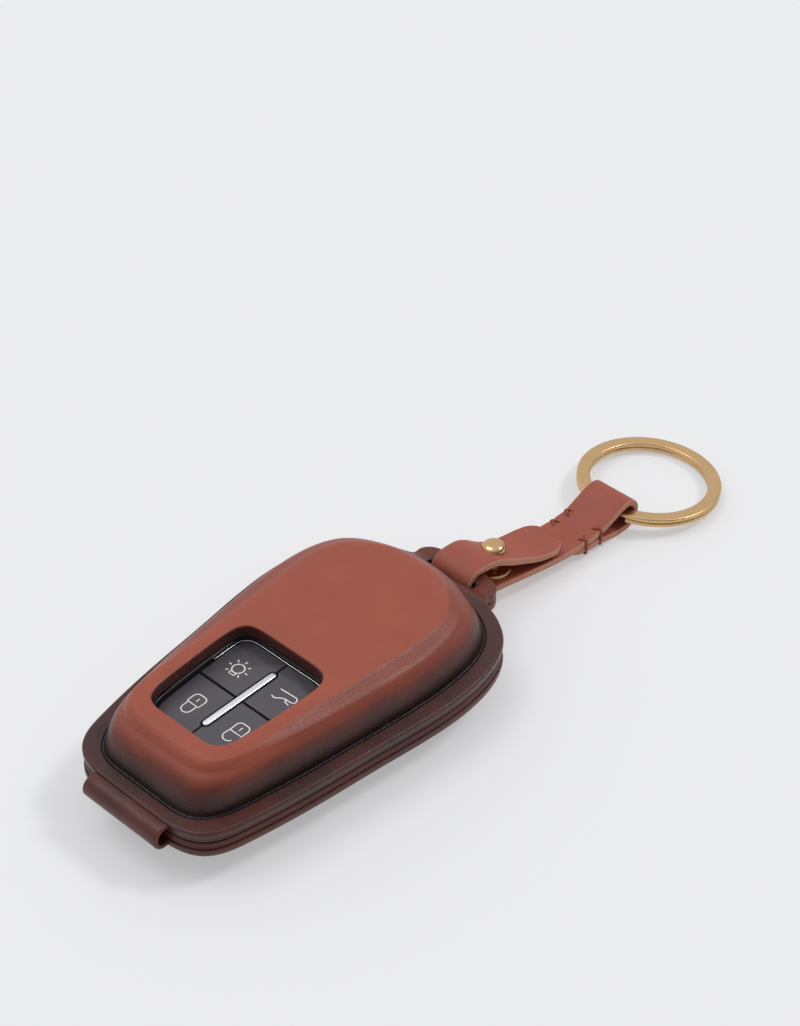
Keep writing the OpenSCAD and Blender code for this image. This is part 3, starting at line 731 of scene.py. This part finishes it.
class KeyCaseColours(bpy.types.PropertyGroup):
    """Colours of the leathers, metals and plastics."""

    leather: colour_property("Leather", "Moulded leather on the dome", linear(152, 75, 56))
    # The mid, burnish and foot stops also paint shade: the dark foot of the dome, its crease and the
    # window wall, beside the real burnish.
    leather_mid: colour_property("Leather mid", "Leather where the burnish begins", linear(98, 46, 37))
    burnish_and_shade: colour_property("Burnish", "Burnished leather on the flange", linear(66, 38, 34))
    foot: colour_property("Foot", "Darkest burnish at the dome's foot", linear(24, 13, 13))
    strap: colour_property("Strap", "Leather of the strap", linear(151, 76, 60))
    strap_edge: colour_property("Strap edge", "Cut edges of the strap", linear(182, 126, 101))
    thread: colour_property("Thread", "Stitching thread", linear(160, 84, 40))
    brass: colour_property("Brass", "Split ring and stud", linear(218, 181, 132))
    key_body: colour_property("Key body", "Moulded key housing", linear(38, 36, 40))
    button: colour_property("Button", "Button caps", linear(78, 75, 81))
    symbol: colour_property("Symbol", "Lines printed on the buttons", linear(236, 233, 226))


def settings():
    scene = bpy.context.scene
    return scene.key_case_sizes, scene.key_case_colours


def leather_of(name):
    """The moulded, inner or strap leather, made when it is first asked for."""
    if name in bpy.data.materials:
        return bpy.data.materials[name]
    c = settings()[1]
    pale, mid, dark, darkest = (tuple(x) for x in (c.leather, c.leather_mid, c.burnish_and_shade, c.foot))
    if name == "Moulded leather":
        return leather_material(name, pale, mid, dark, darkest)
    if name == "Flange ply leather":
        return leather_material(name, mid, tuple(v * 0.8 for v in mid), dark, darkest,
                                roughness=0.55, glossy=0.5, relief=0.35)
    edge = tuple(c.strap_edge)
    strap = tuple(c.strap)
    half = tuple((a + b) / 2 for a, b in zip(strap, edge))
    return leather_material(name, strap, half, edge, edge, mask="edge", roughness=0.5,
                            glossy=0.62, pore_scale=3600.0, cloud_scale=130.0, relief=0.2)


# ---------------------------------------------------------------- pieces

class KEYCASE_OT_shells(bpy.types.Operator):
    """Moulded outer skins and linings of both halves"""

    bl_idname = "keycase.shells"
    bl_label = "Shells and linings"

    def execute(self, context):
        sizes = settings()[0]
        leather = leather_of("Moulded leather")
        ply = leather_of("Flange ply leather")
        edge = sizes.edge_round / MM
        self.upper_skin(leather, edge, sizes.window_round / MM)
        self.upper_lining(ply, sizes.ply_inset / MM)
        self.lower_skin(leather, edge)
        self.lower_lining(ply, sizes.ply_inset / MM)
        return {"FINISHED"}

    @staticmethod
    def edge_rings(outline, low, low_tab, high, high_tab, top_round, low_round=0.2):
        """Rings down a flange edge from its top to its underside, rounded at both arrises."""
        rings = []
        for deg in (90, 67, 45, 22, 0):
            a = math.radians(deg)
            back, down = top_round * (1 - math.cos(a)), top_round * (1 - math.sin(a))
            rings.append(dropping(offset(outline, -back), high - down, high_tab - down))
        for deg in (0, 45, 90):
            a = math.radians(deg)
            back, up = low_round * (1 - math.cos(a)), low_round * (1 - math.sin(a))
            rings.append(dropping(offset(outline, -back), low + up, low_tab + up))
        return rings

    def upper_skin(self, leather, edge, lip):
        rings, burnish_and_shade = [], []

        def add(ring, mask):
            rings.append(ring)
            burnish_and_shade.append(mask)

        # Painted shade on the window wall and lip, darkest down the wall.
        for z in (FLANGE_TOP + 7.4, DOME_TOP - 1.2):
            add(at(WINDOW, z), 0.62)
        for deg in (0, 22, 45, 67, 90):
            a = math.radians(deg)
            add(at(offset(WINDOW, lip * (1 - math.cos(a))), DOME_TOP - lip * (1 - math.sin(a))),
                0.5 * (1 - math.sin(a)))
        shoulder = scaled(FOOT, DOME_SIDE[-1][0])
        front = smooth01((-12 - shoulder[:, 0]) / 14)

        def shaped(outline, side, hinge_end):
            return np.column_stack([outline, FLANGE_TOP + side + (hinge_end - side) * front])

        dome = [at(scaled(FOOT, f), FLANGE_TOP + h) for f, h in DOME_SIDE]
        dome += [shaped(shoulder + (RIDGE - shoulder) * t, a, b) for t, a, b in DOME_FACET]
        dome += [shaped(offset(RIDGE, -back), a, b) for back, a, b in PLATEAU]
        dome = spline(dome, 5)
        inner = rings[-1]
        for t in (0.15, 0.4, 0.7):
            add(inner + (dome[-1] - inner) * t, 0.0)
        # Painted shade: the dome darkens towards its foot, and the far facet is darkened where it turns
        # from the light. Real burnish adds to the foot.
        for ring in dome[:0:-1]:
            h = ring[:, 2] - FLANGE_TOP
            facet = 0.17 * smooth01((9.15 - h) / 0.3) * (1 - front)
            low = np.clip(1 - h / 7.8, 0, 1)
            add(ring, np.maximum(facet, low ** 1.3 * (1.6 - 0.6 * low)))
        # Darkest rings in the crease at the dome's foot: real burnish plus painted shade.
        for spread, lift, mask in ((0.0, 0.22, 1.0), (0.06, 0.04, 1.0), (0.25, -0.05, 1.0),
                                   (0.55, 0.0, 0.92)):
            add(dropping(offset(FOOT, spread), FLANGE_TOP + lift, TAB_TOP + lift), mask)
        for t in np.arange(0.1, 0.96, 0.05):
            add(dropping(FOOT + (offset(FLANGE, -edge) - FOOT) * t, FLANGE_TOP, TAB_TOP), 0.67)
        for ring in self.edge_rings(FLANGE, UPPER_SKIN_BOTTOM, TAB_SEAM_HIGH, FLANGE_TOP, TAB_TOP,
                                    edge):
            add(ring, 0.64)
        under = scaled(FOOT, UNDER_SHARE)
        for t in (0.08, 0.16, 0.24, 0.32, 0.4, 0.48, 0.56, 0.75):
            add(dropping(FLANGE + (under - FLANGE) * t, UPPER_SKIN_BOTTOM, TAB_SEAM_HIGH), 0.8)
        for ring, h in dome_rings(DOME_IN, FLANGE_TOP):
            add(ring, 0.6)
        shell = loft("upper_skin", rings, wrap=True, masks={"burnish_and_shade": burnish_and_shade})
        self.slotted(shell)
        placed(shell, leather, "lid", "leather", "upper_shell")

    @staticmethod
    def ply_rings(outer, share, skin_z, ply_z, side, inset, inner):
        """Rings of a lining: against the skin, round the flange edge, and back along its own inside."""
        edge = offset(BODY, -inset)
        rings = [ring for ring, _ in reversed(outer[1:])]
        rings.append(at(scaled(FOOT, share - LINING_SHARE_GAP), skin_z + side * PLY_ROUND[0][1]))
        rings += [at(offset(edge, -back), skin_z + side * z) for back, z in PLY_ROUND]
        rings += [at(offset(edge, -back), ply_z - side * z) for back, z in PLY_ROUND_BACK]
        return rings + [ring for ring, _ in inner]

    def upper_lining(self, ply, inset):
        outer = dome_rings([(f - LINING_SHARE_GAP, h - 0.05) for f, h in DOME_IN], FLANGE_TOP)
        rings = [at(WINDOW, FLANGE_TOP + z) for z in (6.6, 7.35)]
        rings += self.ply_rings(outer, DOME_IN[0][0], UPPER_SKIN_BOTTOM, UPPER_PLY_BOTTOM, -1, inset,
                                dome_rings(LINING_IN, FLANGE_TOP))
        lining = loft("upper_lining_skin", rings, wrap=True, masks={"burnish_and_shade": [0.55] * len(rings)})
        placed(lining, ply, "lid", "leather_dark", "upper_lining")

    def lower_skin(self, leather, edge):
        rings, burnish_and_shade = [], []

        def add(ring, mask):
            rings.append(ring)
            burnish_and_shade.append(mask)

        dish = dish_rings(DISH_OUT, FLANGE_BOTTOM)
        for share in (0.55, 0.9):
            add(at(scaled(FOOT, DISH_OUT[0][0] * share), 0.0), 0.1)
        # The dish is darker towards the flange and darkest in the crease under it.
        for ring, h in dish[:-1]:
            add(ring, float(np.clip(1 + h / 6.3, 0, 1) ** 0.8))
        add(at(offset(FOOT, 0.1), FLANGE_BOTTOM - 0.08), 1.0)
        for t in (0.1, 0.3, 0.5, 0.7, 0.85):
            add(at(FOOT + (offset(FLANGE, -edge) - FOOT) * t, FLANGE_BOTTOM), 0.68)
        for ring in reversed(self.edge_rings(FLANGE, FLANGE_BOTTOM, FLANGE_BOTTOM, LOWER_SKIN_TOP,
                                             TAB_SEAM_LOW, 0.2, edge)):
            add(ring, 0.55)
        under = scaled(FOOT, UNDER_SHARE)
        for t in (0.08, 0.16, 0.24, 0.32, 0.45, 0.56, 0.75):
            add(dropping(FLANGE + (under - FLANGE) * t, LOWER_SKIN_TOP, TAB_SEAM_LOW), 0.8)
        for ring, h in dish_rings(DISH_IN, FLANGE_BOTTOM):
            add(ring, 0.6)
        shell = loft("lower_skin", rings, masks={"burnish_and_shade": burnish_and_shade})
        self.slotted(shell)
        placed(shell, leather, "case", "leather", "lower_shell")

    def lower_lining(self, ply, inset):
        outer = dish_rings([(f - LINING_SHARE_GAP, h + 0.05) for f, h in DISH_IN], FLANGE_BOTTOM)
        rings = self.ply_rings(outer, DISH_IN[0][0], LOWER_SKIN_TOP, LOWER_PLY_TOP, 1, inset,
                               dish_rings(DISH_LINING_IN, FLANGE_BOTTOM))
        lining = loft("lower_lining_skin", rings, masks={"burnish_and_shade": [0.5] * len(rings)})
        placed(lining, ply, "case", "leather_dark", "lower_lining")

    @staticmethod
    def slotted(shell):
        """The shell with the strap's slot through its tab."""
        outline = stadium(SLOT_START, SLOT_END, SLOT_HALF_Y)
        cut(shell, loft("slot_cutter", [at(outline, 4.0), at(outline, 20.0)]))
        mesh = shell.data
        layer = mesh.attributes.get("burnish_and_shade")
        for i, vertex in enumerate(mesh.vertices):
            x, y = vertex.co.x / MM, vertex.co.y / MM
            if SLOT_START - 0.3 < x < SLOT_END + 0.3 and abs(y) < SLOT_HALF_Y + 0.3:
                layer.data[i].value = 0.9
            elif x > 41:
                layer.data[i].value *= 1 - 0.45 * float(smooth01((x - 41) / 5))


class KEYCASE_OT_hinge(bpy.types.Operator):
    """Leather strip rolled round the hinge edge"""

    bl_idname = "keycase.hinge"
    bl_label = "Hinge strip"

    def execute(self, context):
        turns = np.radians(np.linspace(90, 270, 40))
        roll = [(ROLL_X + ROLL_MIDDLE_R * math.cos(a), 0, ROLL_Z + ROLL_MIDDLE_R * math.sin(a))
                for a in turns]
        high, low = ROLL_Z + ROLL_MIDDLE_R, ROLL_Z - ROLL_MIDDLE_R
        path = [(TONGUE_END, 0, high), (-41.5, 0, high), *roll, (-41.5, 0, low),
                (TONGUE_END, 0, low)]
        leather = leather_of("Moulded leather")
        rings, burnish_and_shade = [], []
        points = along(np.array(path, float), np.linspace(0, length_of(np.array(path)), 90))
        ahead = np.gradient(points, axis=0)
        for p, d in zip(points, ahead):
            d = d / np.linalg.norm(d)
            side = np.array([0.0, 1.0, 0.0])
            up = np.cross(d, side)
            parts = section(HINGE_WIDTH, HINGE_THICK, 0.3)
            rings.append(np.array([p + side * u + up * v for u, v, _ in parts]))
            burnish_and_shade.append(np.array([0.55 - 0.1 * e for _, _, e in parts]))
        piece = loft("hinge_roll", rings, masks={"burnish_and_shade": burnish_and_shade}, angle=50)
        dressed(piece, leather)
        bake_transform(piece)
        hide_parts("hinge_strip")
        return {"FINISHED"}


def strap_places():
    """The strap's lower run, fold and tail as one path, and the arch with its flap as another."""
    fold = [(FOLD_X + FOLD_R * math.cos(a), FOLD_Y, FOLD_Z + FOLD_R * math.sin(a))
            for a in np.radians(np.linspace(96, -84, 40))]
    run = np.vstack([spline(STRAP_ROUTE, 10), fold, spline(TAIL_ROUTE, 8)])
    arch = [(BAR_X + WRAP_R * math.cos(a), 0, BAR_Z + WRAP_R * math.sin(a))
            for a in np.radians(np.linspace(-90, -269, 60))]
    flap = np.vstack([arch, spline(FLAP_ROUTE, 10)])
    return run, flap


class KEYCASE_OT_strap(bpy.types.Operator):
    """Strap with its fold round the ring, its arch through the tab and its buttoned flap"""

    bl_idname = "keycase.strap"
    bl_label = "Strap"

    def execute(self, context):
        lean = settings()[0].near_edge_lift
        leather = leather_of("Strap leather")
        run, flap_path = strap_places()

        def pinch(p):
            return 0.55 * sum(math.exp(-((p[0] - x) / 0.75) ** 2) for x in STITCH_X)

        def roll(p):
            if p[2] < 6.0 and p[0] < 49.5:
                return 0.0
            rise = smooth01((p[0] - 51.5) / 5.0) * (1 - smooth01((p[0] - 60.0) / 8.0))
            return float(lean * rise)

        lower = strip("strap_run", run, STRAP_WIDTH, STRAP_THICK, (1, 0, 0), pinch=pinch)
        hole = lathe("screw_hole", [(SCREW_HOLE_R, 2), (SCREW_HOLE_R, 8)], STUD_X, STUD_Y,
                     steps=1, around=32)
        cut(lower, hole)
        placed(lower, leather, "strap", "strap_leather", "strap")
        flap = strip("strap_flap_arch", flap_path, STRAP_WIDTH, STRAP_THICK, (-1, 0, 0), roll=roll,
                     end_length=3.8, tip=0.45)
        hole = lathe("button_hole", [(BUTTON_HOLE_R, 6), (BUTTON_HOLE_R, 14)], STUD_X, STUD_Y,
                     steps=1, around=32)
        cut(flap, hole)
        dressed(flap, leather)
        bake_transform(flap)
        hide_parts("strap_loop", "strap_flap")
        return {"FINISHED"}

    @staticmethod
    def turning_line():
        """Two points between which the arch turns from strap to flap."""
        direction = Vector((0.35, 0, 1)).normalized()
        middle = Vector((BAR_X, 0, BAR_Z)) * MM
        return (middle - direction * 3.3 * MM), (middle + direction * 2.7 * MM)


class KEYCASE_OT_stitches(bpy.types.Operator):
    """Thread wraps that close the strap's fold"""

    bl_idname = "keycase.stitches"
    bl_label = "Stitches"

    def execute(self, context):
        sizes, colours = settings()
        run, _ = strap_places()
        top = run[: 9 * 10]
        lines = []
        for x in STITCH_X:
            for s in (1, -1):
                lines += self.wraps(top, x, s)
        thread = thread_material("Waxed thread", tuple(colours.thread))
        piece = grown("strap_threads", bead_tree(), lines, bead_radius=sizes.thread_radius, sides=10,
                      flatness=1.0, lift=0.0, material=thread)
        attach(piece, "strap")
        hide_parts("strap_stitches")
        return {"FINISHED"}

    @staticmethod
    def wraps(top, x, s):
        """A straight wrap and a slanting leg that meet at the strap's edge."""
        z_top = float(np.interp(x, top[:, 0], top[:, 2])) + STRAP_THICK / 2
        y_mid = float(np.interp(x, top[:, 0], top[:, 1]))
        low = 1.45
        edge = y_mid + s * (STRAP_WIDTH / 2 - 0.28)
        slope = -0.08

        def spot(dx, inwards, z):
            return (x + dx + slope * inwards * s, edge - s * inwards, z)

        whole = [spot(-0.8, 1.6, z_top - 0.5), spot(-0.75, 1.45, z_top + 0.05),
                 spot(-0.42, 0.9, z_top + 0.14), spot(-0.05, 0.3, z_top + 0.14),
                 spot(0, -0.12, z_top - 0.25), spot(0, -0.2, z_top - 1.1),
                 spot(0, -0.2, low + 0.6), spot(0, -0.12, low - 0.1), spot(0, 0.4, low - 0.32),
                 spot(0, 1.2, low - 0.3), spot(0, 1.6, low + 0.3)]
        leg = [spot(0.95, 1.6, z_top - 0.5), spot(0.9, 1.45, z_top + 0.05),
               spot(0.55, 0.9, z_top + 0.15), spot(0.15, 0.25, z_top + 0.17),
               spot(0.08, -0.1, z_top - 0.3)]
        return [spline(whole, 4), spline(leg, 4)]


class KEYCASE_OT_stud(bpy.types.Operator):
    """Polished button stud with its base, and the screw behind it"""

    bl_idname = "keycase.stud"
    bl_label = "Stud"

    def execute(self, context):
        brass = hard_material("Polished brass", tuple(settings()[1].brass), 0.13, metallic=1.0,
                              smudge=0.08, relief=0.008)
        stud = lathe("stud_turned", STUD_PROFILE, STUD_X, STUD_Y, steps=3, angle=60)
        placed(stud, brass, "strap", "brass", "stud")
        dressed(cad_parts["stud_screw"], brass)
        return {"FINISHED"}


class KEYCASE_OT_ring(bpy.types.Operator):
    """Flat split ring of two turns"""

    bl_idname = "keycase.ring"
    bl_label = "Split ring"

    def execute(self, context):
        sizes, colours = settings()
        brass = hard_material("Brushed brass", tuple(colours.brass), 0.24, metallic=1.0,
                              smudge=0.1, relief=0.02, hairline=5200.0)
        lean = math.asin((FOLD_Z - TURN_THICK - TURN_GAP) / (2 * RING_MIDDLE_R + WIRE_WIDTH / 2))
        piece = grown("ring_coil", coil_tree(), middle_radius=RING_MIDDLE_R * MM,
                      wire_width=WIRE_WIDTH * MM, turn_thickness=TURN_THICK * MM,
                      turn_gap=TURN_GAP * MM, corner_radius=WIRE_ROUND * MM,
                      ramp_half_angle=math.radians(18), steps=sizes.ring_steps, lean=lean,
                      place=((FOLD_X - 0.5) * MM, FOLD_Y * MM, FOLD_Z * MM), material=brass)
        finished(piece, 50)
        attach(piece, "ring")
        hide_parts("split_ring")
        return {"FINISHED"}


def well(grow):
    """The outline of the well that the buttons sit in, grown all round."""
    return offset(plan(WELL_HALF, 12, 3), grow)


def beside_bar(x):
    """How far the buttons' inner edges stand from the middle line."""
    past = max(BAR_START + BAR_HALF_WIDTH - x, x - BAR_END + BAR_HALF_WIDTH, 0.0)
    return max(0.2, math.sqrt(max(0.0, 1.1 ** 2 - past ** 2)))


class KEYCASE_OT_key_body(bpy.types.Operator):
    """Key housing under the window, with its bright trim and divider bar"""

    bl_idname = "keycase.key_body"
    bl_label = "Key body"

    def execute(self, context):
        colours = settings()[1]
        plastic = hard_material("Key plastic", tuple(colours.key_body), 0.42, smudge=0.12,
                                relief=0.03, hairline=4200.0)
        chrome = hard_material("Satin chrome", linear(236, 238, 242), 0.3, metallic=1.0,
                               smudge=0.08, relief=0.01)
        centre = np.array(KEY_MIDDLE)
        mouth = well(0.75)
        turn = np.unwrap(np.arctan2(mouth[:, 1], mouth[:, 0] - centre[0]))
        reach = np.linalg.norm(mouth - centre, axis=1)
        order = np.argsort(np.mod(turn, 2 * math.pi))
        turn, reach = np.mod(turn, 2 * math.pi)[order], reach[order]
        around = np.arctan2(FOOT[:, 1], FOOT[:, 0] - centre[0])
        radius = np.interp(np.mod(around, 2 * math.pi), turn, reach, period=2 * math.pi)
        rim = centre + np.column_stack([np.cos(around), np.sin(around)]) * radius[:, None]

        def clear(ring):
            inside = np.linalg.norm(ring - centre, axis=1) < radius + KEY_CLEARANCE
            out = centre + (rim - centre) * ((radius + KEY_CLEARANCE) / radius)[:, None]
            return np.where(inside[:, None], out, ring)

        rings = [at(clear(scaled(FOOT, f)), h) for f, h in spline(KEY_UP, 3)]
        for drop in (0.0, 0.1):
            rings.append(at(rim + (rim - centre) * (0.012 - drop * 0.12), KEY_UP[-1][1] - drop))
        rings.append(at(rim, 16.2))
        rings += [at(clear(scaled(FOOT, f - KEY_SKIN)), h) for f, h in
                  ((0.76, 16.0), (0.8, 14.2), (0.83, 12), (0.85, 9.75))]
        body = loft("key_housing", rings, wrap=True)
        placed(body, plastic, "case", "key_plastic", "fob_top_housing")
        rib = extruded("key_spine", np.array(SPINE, float), 15.5, 16.4, 0.1)
        placed(rib, plastic, "case", "key_plastic")
        bar = stadium(-BAR_HALF_WIDTH, BAR_HALF_WIDTH, (BAR_END - BAR_START) / 2)
        bar = np.column_stack([bar[:, 1] + (BAR_START + BAR_END) / 2, -bar[:, 0]])
        divider = extruded("divider_silver", bar, 16.5, 17.67, 0.3, angle=60)
        placed(divider, chrome, "case", "bright_trim", "divider_bar")
        edge = well(0.5)
        left = edge[(edge[:, 1] > 0) & (edge[:, 0] > TRIM_START)]
        right = edge[(edge[:, 1] <= 0) & (edge[:, 0] > TRIM_START)]
        first = left[0]
        line = [first + (-0.4, 0.95), first + (-0.1, 0.2), *left, *right]
        path = [(x, y, TRIM_TOP) for x, y in line]
        trim = grown("trim_line", bead_tree(), [path], bead_radius=0.0001, sides=8, flatness=1.0,
                     lift=0.0, material=chrome)
        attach(trim, "case")
        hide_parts("button_trim")
        return {"FINISHED"}


def arc(x, y, r, start, end, count=14):
    """Points on a circle, in millimetres on the button faces."""
    return [(x + r * math.cos(a), y + r * math.sin(a))
            for a in np.radians(np.linspace(start, end, count))]


def bulb_lines():
    x, y = -8.6, 6.15
    lines = [arc(x, y, 1.28, 0, 360, 32)]
    for k in range(8):
        a = math.radians(45 * k)
        if k != 4:
            lines.append([(x + r * math.cos(a), y + r * math.sin(a)) for r in (1.85, 2.5)])
    lines.append([(x - 1.15, y + 0.68), (x - 1.95, y + 0.68), (x - 1.95, y - 0.68),
                  (x - 1.15, y - 0.68)])
    return lines


def padlock_lines(x, y, open_side):
    """A padlock whose shackle points at the hinge, shut or swung open."""
    base = x - 1.15
    body = [(base, y + 1.5), (base + 1.7, y + 1.55)] + arc(base + 1.75, y + 0.55, 1.0, 85, 0, 8)
    body += arc(base + 1.75, y - 0.55, 1.0, 0, -85, 8) + [(base, y - 1.5), (base, y + 1.5)]
    lines = [body, [(base + 0.85, y - 0.02), (base + 1.85, y)]]
    if open_side:
        hook = [(base, y + 1.5), (base - 0.95, y + 1.62)]
        lines.append(hook + arc(base - 1.35, y + 0.35, 1.27, 78, 245, 14))
    else:
        shackle = [(base, y + 1.15), (base - 1.5, y + 1.15)] + arc(base - 1.5, y, 1.15, 90, 270, 14)
        lines.append(shackle + [(base, y - 1.15)])
    return lines


def boot_lines():
    """A car's tail with its lid raised."""
    lid = [(-6.87, -3.77), (-6.64, -7.6), (-6.72, -8.1), (-7.15, -8.42), (-7.75, -8.52),
           (-8.12, -8.3), (-8.2, -7.8), (-8.31, -6.45)]
    tail = [(-9.21, -3.72), (-9.38, -4.6), (-8.6, -5.6), (-8.3, -6.5), (-8.85, -7.0), (-9.05, -8.05)]
    return [lid, spline([(x, y, 0) for x, y in tail], 4)[:, :2].tolist()]


class KEYCASE_OT_buttons(bpy.types.Operator):
    """Four button caps and the symbols printed on them"""

    bl_idname = "keycase.buttons"
    bl_label = "Buttons"

    def execute(self, context):
        sizes, colours = settings()
        plastic = hard_material("Button plastic", tuple(colours.button), 0.4, smudge=0.1, relief=0.03,
                                hairline=5200.0)
        ink = hard_material("Symbol ink", tuple(colours.symbol), 0.5, smudge=0.05, relief=0.01,
                            tint=0.03)
        tree = bead_tree()
        for name, body, end, side, lines in (
                ("lights", "lights_button", 1, 1, bulb_lines()),
                ("boot", "boot_button", 1, -1, boot_lines()),
                ("lock", "lock_button", -1, 1, padlock_lines(-20.1, 5.5, False)),
                ("unlock", "unlock_button", -1, -1, padlock_lines(-19.9, -6.1, True))):
            outline = self.cap_outline(end, side)
            cap = extruded("cap_" + name, outline, CAP_BOTTOM, BUTTON_TOP, CAP_ROUND)
            middle = outline.mean(0)
            stem = extruded("stem_" + name, middle + (outline - middle) * STEM_SHARE, STEM_BOTTOM,
                            STEM_TOP, 0.1)
            bpy.context.view_layer.update()
            with bpy.context.temp_override(active_object=cap, selected_editable_objects=[cap, stem],
                                           selected_objects=[cap, stem], object=cap):
                bpy.ops.object.join()
            placed(cap, plastic, body, "button_plastic", "button_" + name)
            flat = [[(x, y, 0.0) for x, y in line] for line in lines]
            symbol = grown("symbol_" + name, tree, flat, bead_radius=sizes.symbol_line, sides=8,
                           flatness=0.25, lift=(BUTTON_TOP + 0.005) * MM, material=ink)
            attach(symbol, body)
        return {"FINISHED"}

    @staticmethod
    def cap_outline(end, side):
        """One quarter of the well, cleared for the cross gap and the divider bar."""
        points = [p for p in well(CAP_GAP) if end * (p[0] - CROSS_X) > CROSS_GAP
                  and side * p[1] > beside_bar(p[0])]
        far = max(abs(p[0] - CROSS_X) for p in points)
        inner = CROSS_X + end * np.linspace(CROSS_GAP, far, 60)
        points += [(x, side * beside_bar(x)) for x in inner]
        reach = max(side * p[1] for p in points if abs(p[0] - CROSS_X) < 1.5)
        points.append((CROSS_X + end * CROSS_GAP, side * reach))
        p = np.array(points, float)
        middle = np.array([CROSS_X + end * far / 2, side * 5.6])
        turn = np.arctan2(p[:, 1] - middle[1], p[:, 0] - middle[0])
        return p[np.argsort(-turn)]


class KEYCASE_OT_inner_parts(bpy.types.Operator):
    """Finishes of the key's inner parts"""

    bl_idname = "keycase.inner_parts"
    bl_label = "Inner parts"

    def execute(self, context):
        plastic = bpy.data.materials["Key plastic"]
        steel = hard_material("Stamped steel", linear(190, 190, 194), 0.32, metallic=1.0)
        board = hard_material("Solder mask", linear(22, 74, 48), 0.35, coat=0.3)
        rubber = hard_material("Switch mat rubber", linear(52, 52, 56), 0.6)
        copper = hard_material("Enamelled copper", linear(184, 104, 60), 0.3, metallic=1.0)
        chip = hard_material("Chip moulding", linear(30, 30, 32), 0.55)
        finishes = {"fob_bottom_housing": plastic, "key_mat": rubber, "circuit_board": board,
                    "tact_switches": steel, "coin_cell": steel, "battery_clip_plus": steel,
                    "battery_clip_minus": steel, "antenna_coil": copper, "controller_chip": chip,
                    "crystal_can": steel, "emergency_blade": steel, "blade_grip": plastic}
        for name, material in finishes.items():
            dressed(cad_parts[name], material)
        return {"FINISHED"}


class KEYCASE_OT_stage(bpy.types.Operator):
    """Pale floor, soft studio light and the camera"""

    bl_idname = "keycase.stage"
    bl_label = "Stage"

    def execute(self, context):
        scene = context.scene
        floor = bpy.data.meshes.new("stage_floor")
        corners = ((-1, -1), (1, -1), (1, 1), (-1, 1))
        floor.from_pydata([(FLOOR_HALF * x, FLOOR_HALF * y, FLOOR_Z) for x, y in corners], [],
                          [(0, 1, 2, 3)])
        floor_object = in_scene("stage_floor", floor)
        material, tree, surface, place = new_material("Pale floor")
        tone = noise(tree, place, 3.0)
        paper = mixed(tree, tone, (0.45, 0.452, 0.46), (0.456, 0.458, 0.466))
        tree.links.new(paper, surface.inputs["Base Color"])
        tree.links.new(paper, surface.inputs["Emission Color"])
        surface.inputs["Emission Strength"].default_value = 0.81
        surface.inputs["Roughness"].default_value = 0.9
        surface.inputs["Specular IOR Level"].default_value = 0.1
        floor.materials.append(material)
        self.sky(scene)
        self.sun("key_light", (-0.15, 0.4, 1.0), 34, 0.62)
        self.sun("ridge_light", (0.56, -0.32, 0.76), 14, 0.95)
        camera = bpy.data.cameras.new("camera")
        camera.sensor_fit = "HORIZONTAL"
        camera.sensor_width = SENSOR_WIDTH
        camera.lens = CAMERA_LENS
        camera.clip_start = 0.01
        camera_object = in_scene("camera", camera)
        ahead = Vector(CAMERA_AHEAD).normalized()
        right = Vector(CAMERA_RIGHT).normalized()
        up = right.cross(ahead)
        turn = Matrix((right, up, -ahead)).transposed().to_4x4()
        camera_object.matrix_world = Matrix.Translation(CAMERA_PLACE) @ turn
        scene.camera = camera_object
        scene.view_settings.view_transform = "Standard"
        return {"FINISHED"}

    @staticmethod
    def sky(scene):
        """A soft dome of light, brighter overhead and behind."""
        world = bpy.data.worlds.new("Studio")
        scene.world = world
        world.use_nodes = True
        tree = world.node_tree
        background = next(n for n in tree.nodes if n.type == "BACKGROUND")
        place = node(tree, "ShaderNodeTexCoord").outputs["Generated"]
        across = node(tree, "ShaderNodeVectorMath", {0: place, 1: (0.1, 0.55, 0.83)},
                      operation="DOT_PRODUCT").outputs["Value"]
        level = ranged(tree, across, -0.35, 0.95, 0.22, 1.12, "SMOOTHSTEP")
        tree.links.new(mixed(tree, level, (0, 0, 0), (1.0, 1.0, 1.01)), background.inputs["Color"])
        background.inputs["Strength"].default_value = 0.75

    @staticmethod
    def sun(name, place, spread, power):
        light = bpy.data.lights.new(name, "SUN")
        light.angle = math.radians(spread)
        light.energy = power
        obj = in_scene(name, light)
        obj.location = place
        obj.rotation_euler = (-Vector(place)).to_track_quat("-Z", "Y").to_euler()


class KEYCASE_PT_panel(bpy.types.Panel):
    """Pieces of the key case and their settings"""

    bl_idname = "KEYCASE_PT_panel"
    bl_label = "Key case"
    bl_space_type = "VIEW_3D"
    bl_region_type = "UI"
    bl_category = "Key case"

    def draw(self, context):
        for group in (context.scene.key_case_sizes, context.scene.key_case_colours):
            box = self.layout.box()
            for name in group.__annotations__:
                box.prop(group, name)
        for operator in OPERATORS:
            self.layout.operator(operator.bl_idname)


OPERATORS = (KEYCASE_OT_stage, KEYCASE_OT_shells, KEYCASE_OT_hinge, KEYCASE_OT_strap,
             KEYCASE_OT_stitches, KEYCASE_OT_stud, KEYCASE_OT_ring, KEYCASE_OT_key_body,
             KEYCASE_OT_buttons, KEYCASE_OT_inner_parts)
CLASSES = (KeyCaseSizes, KeyCaseColours) + OPERATORS + (KEYCASE_PT_panel,)


def register():
    for cls in CLASSES:
        bpy.utils.register_class(cls)
    bpy.types.Scene.key_case_sizes = PointerProperty(type=KeyCaseSizes)
    bpy.types.Scene.key_case_colours = PointerProperty(type=KeyCaseColours)


def unregister():
    del bpy.types.Scene.key_case_colours
    del bpy.types.Scene.key_case_sizes
    for cls in reversed(CLASSES):
        bpy.utils.unregister_class(cls)


def main():
    register()
    for operator in OPERATORS:
        area, name = operator.bl_idname.split(".")
        getattr(getattr(bpy.ops, area), name)()
    bpy.context.view_layer.update()


if __name__ == "__main__":
    main()
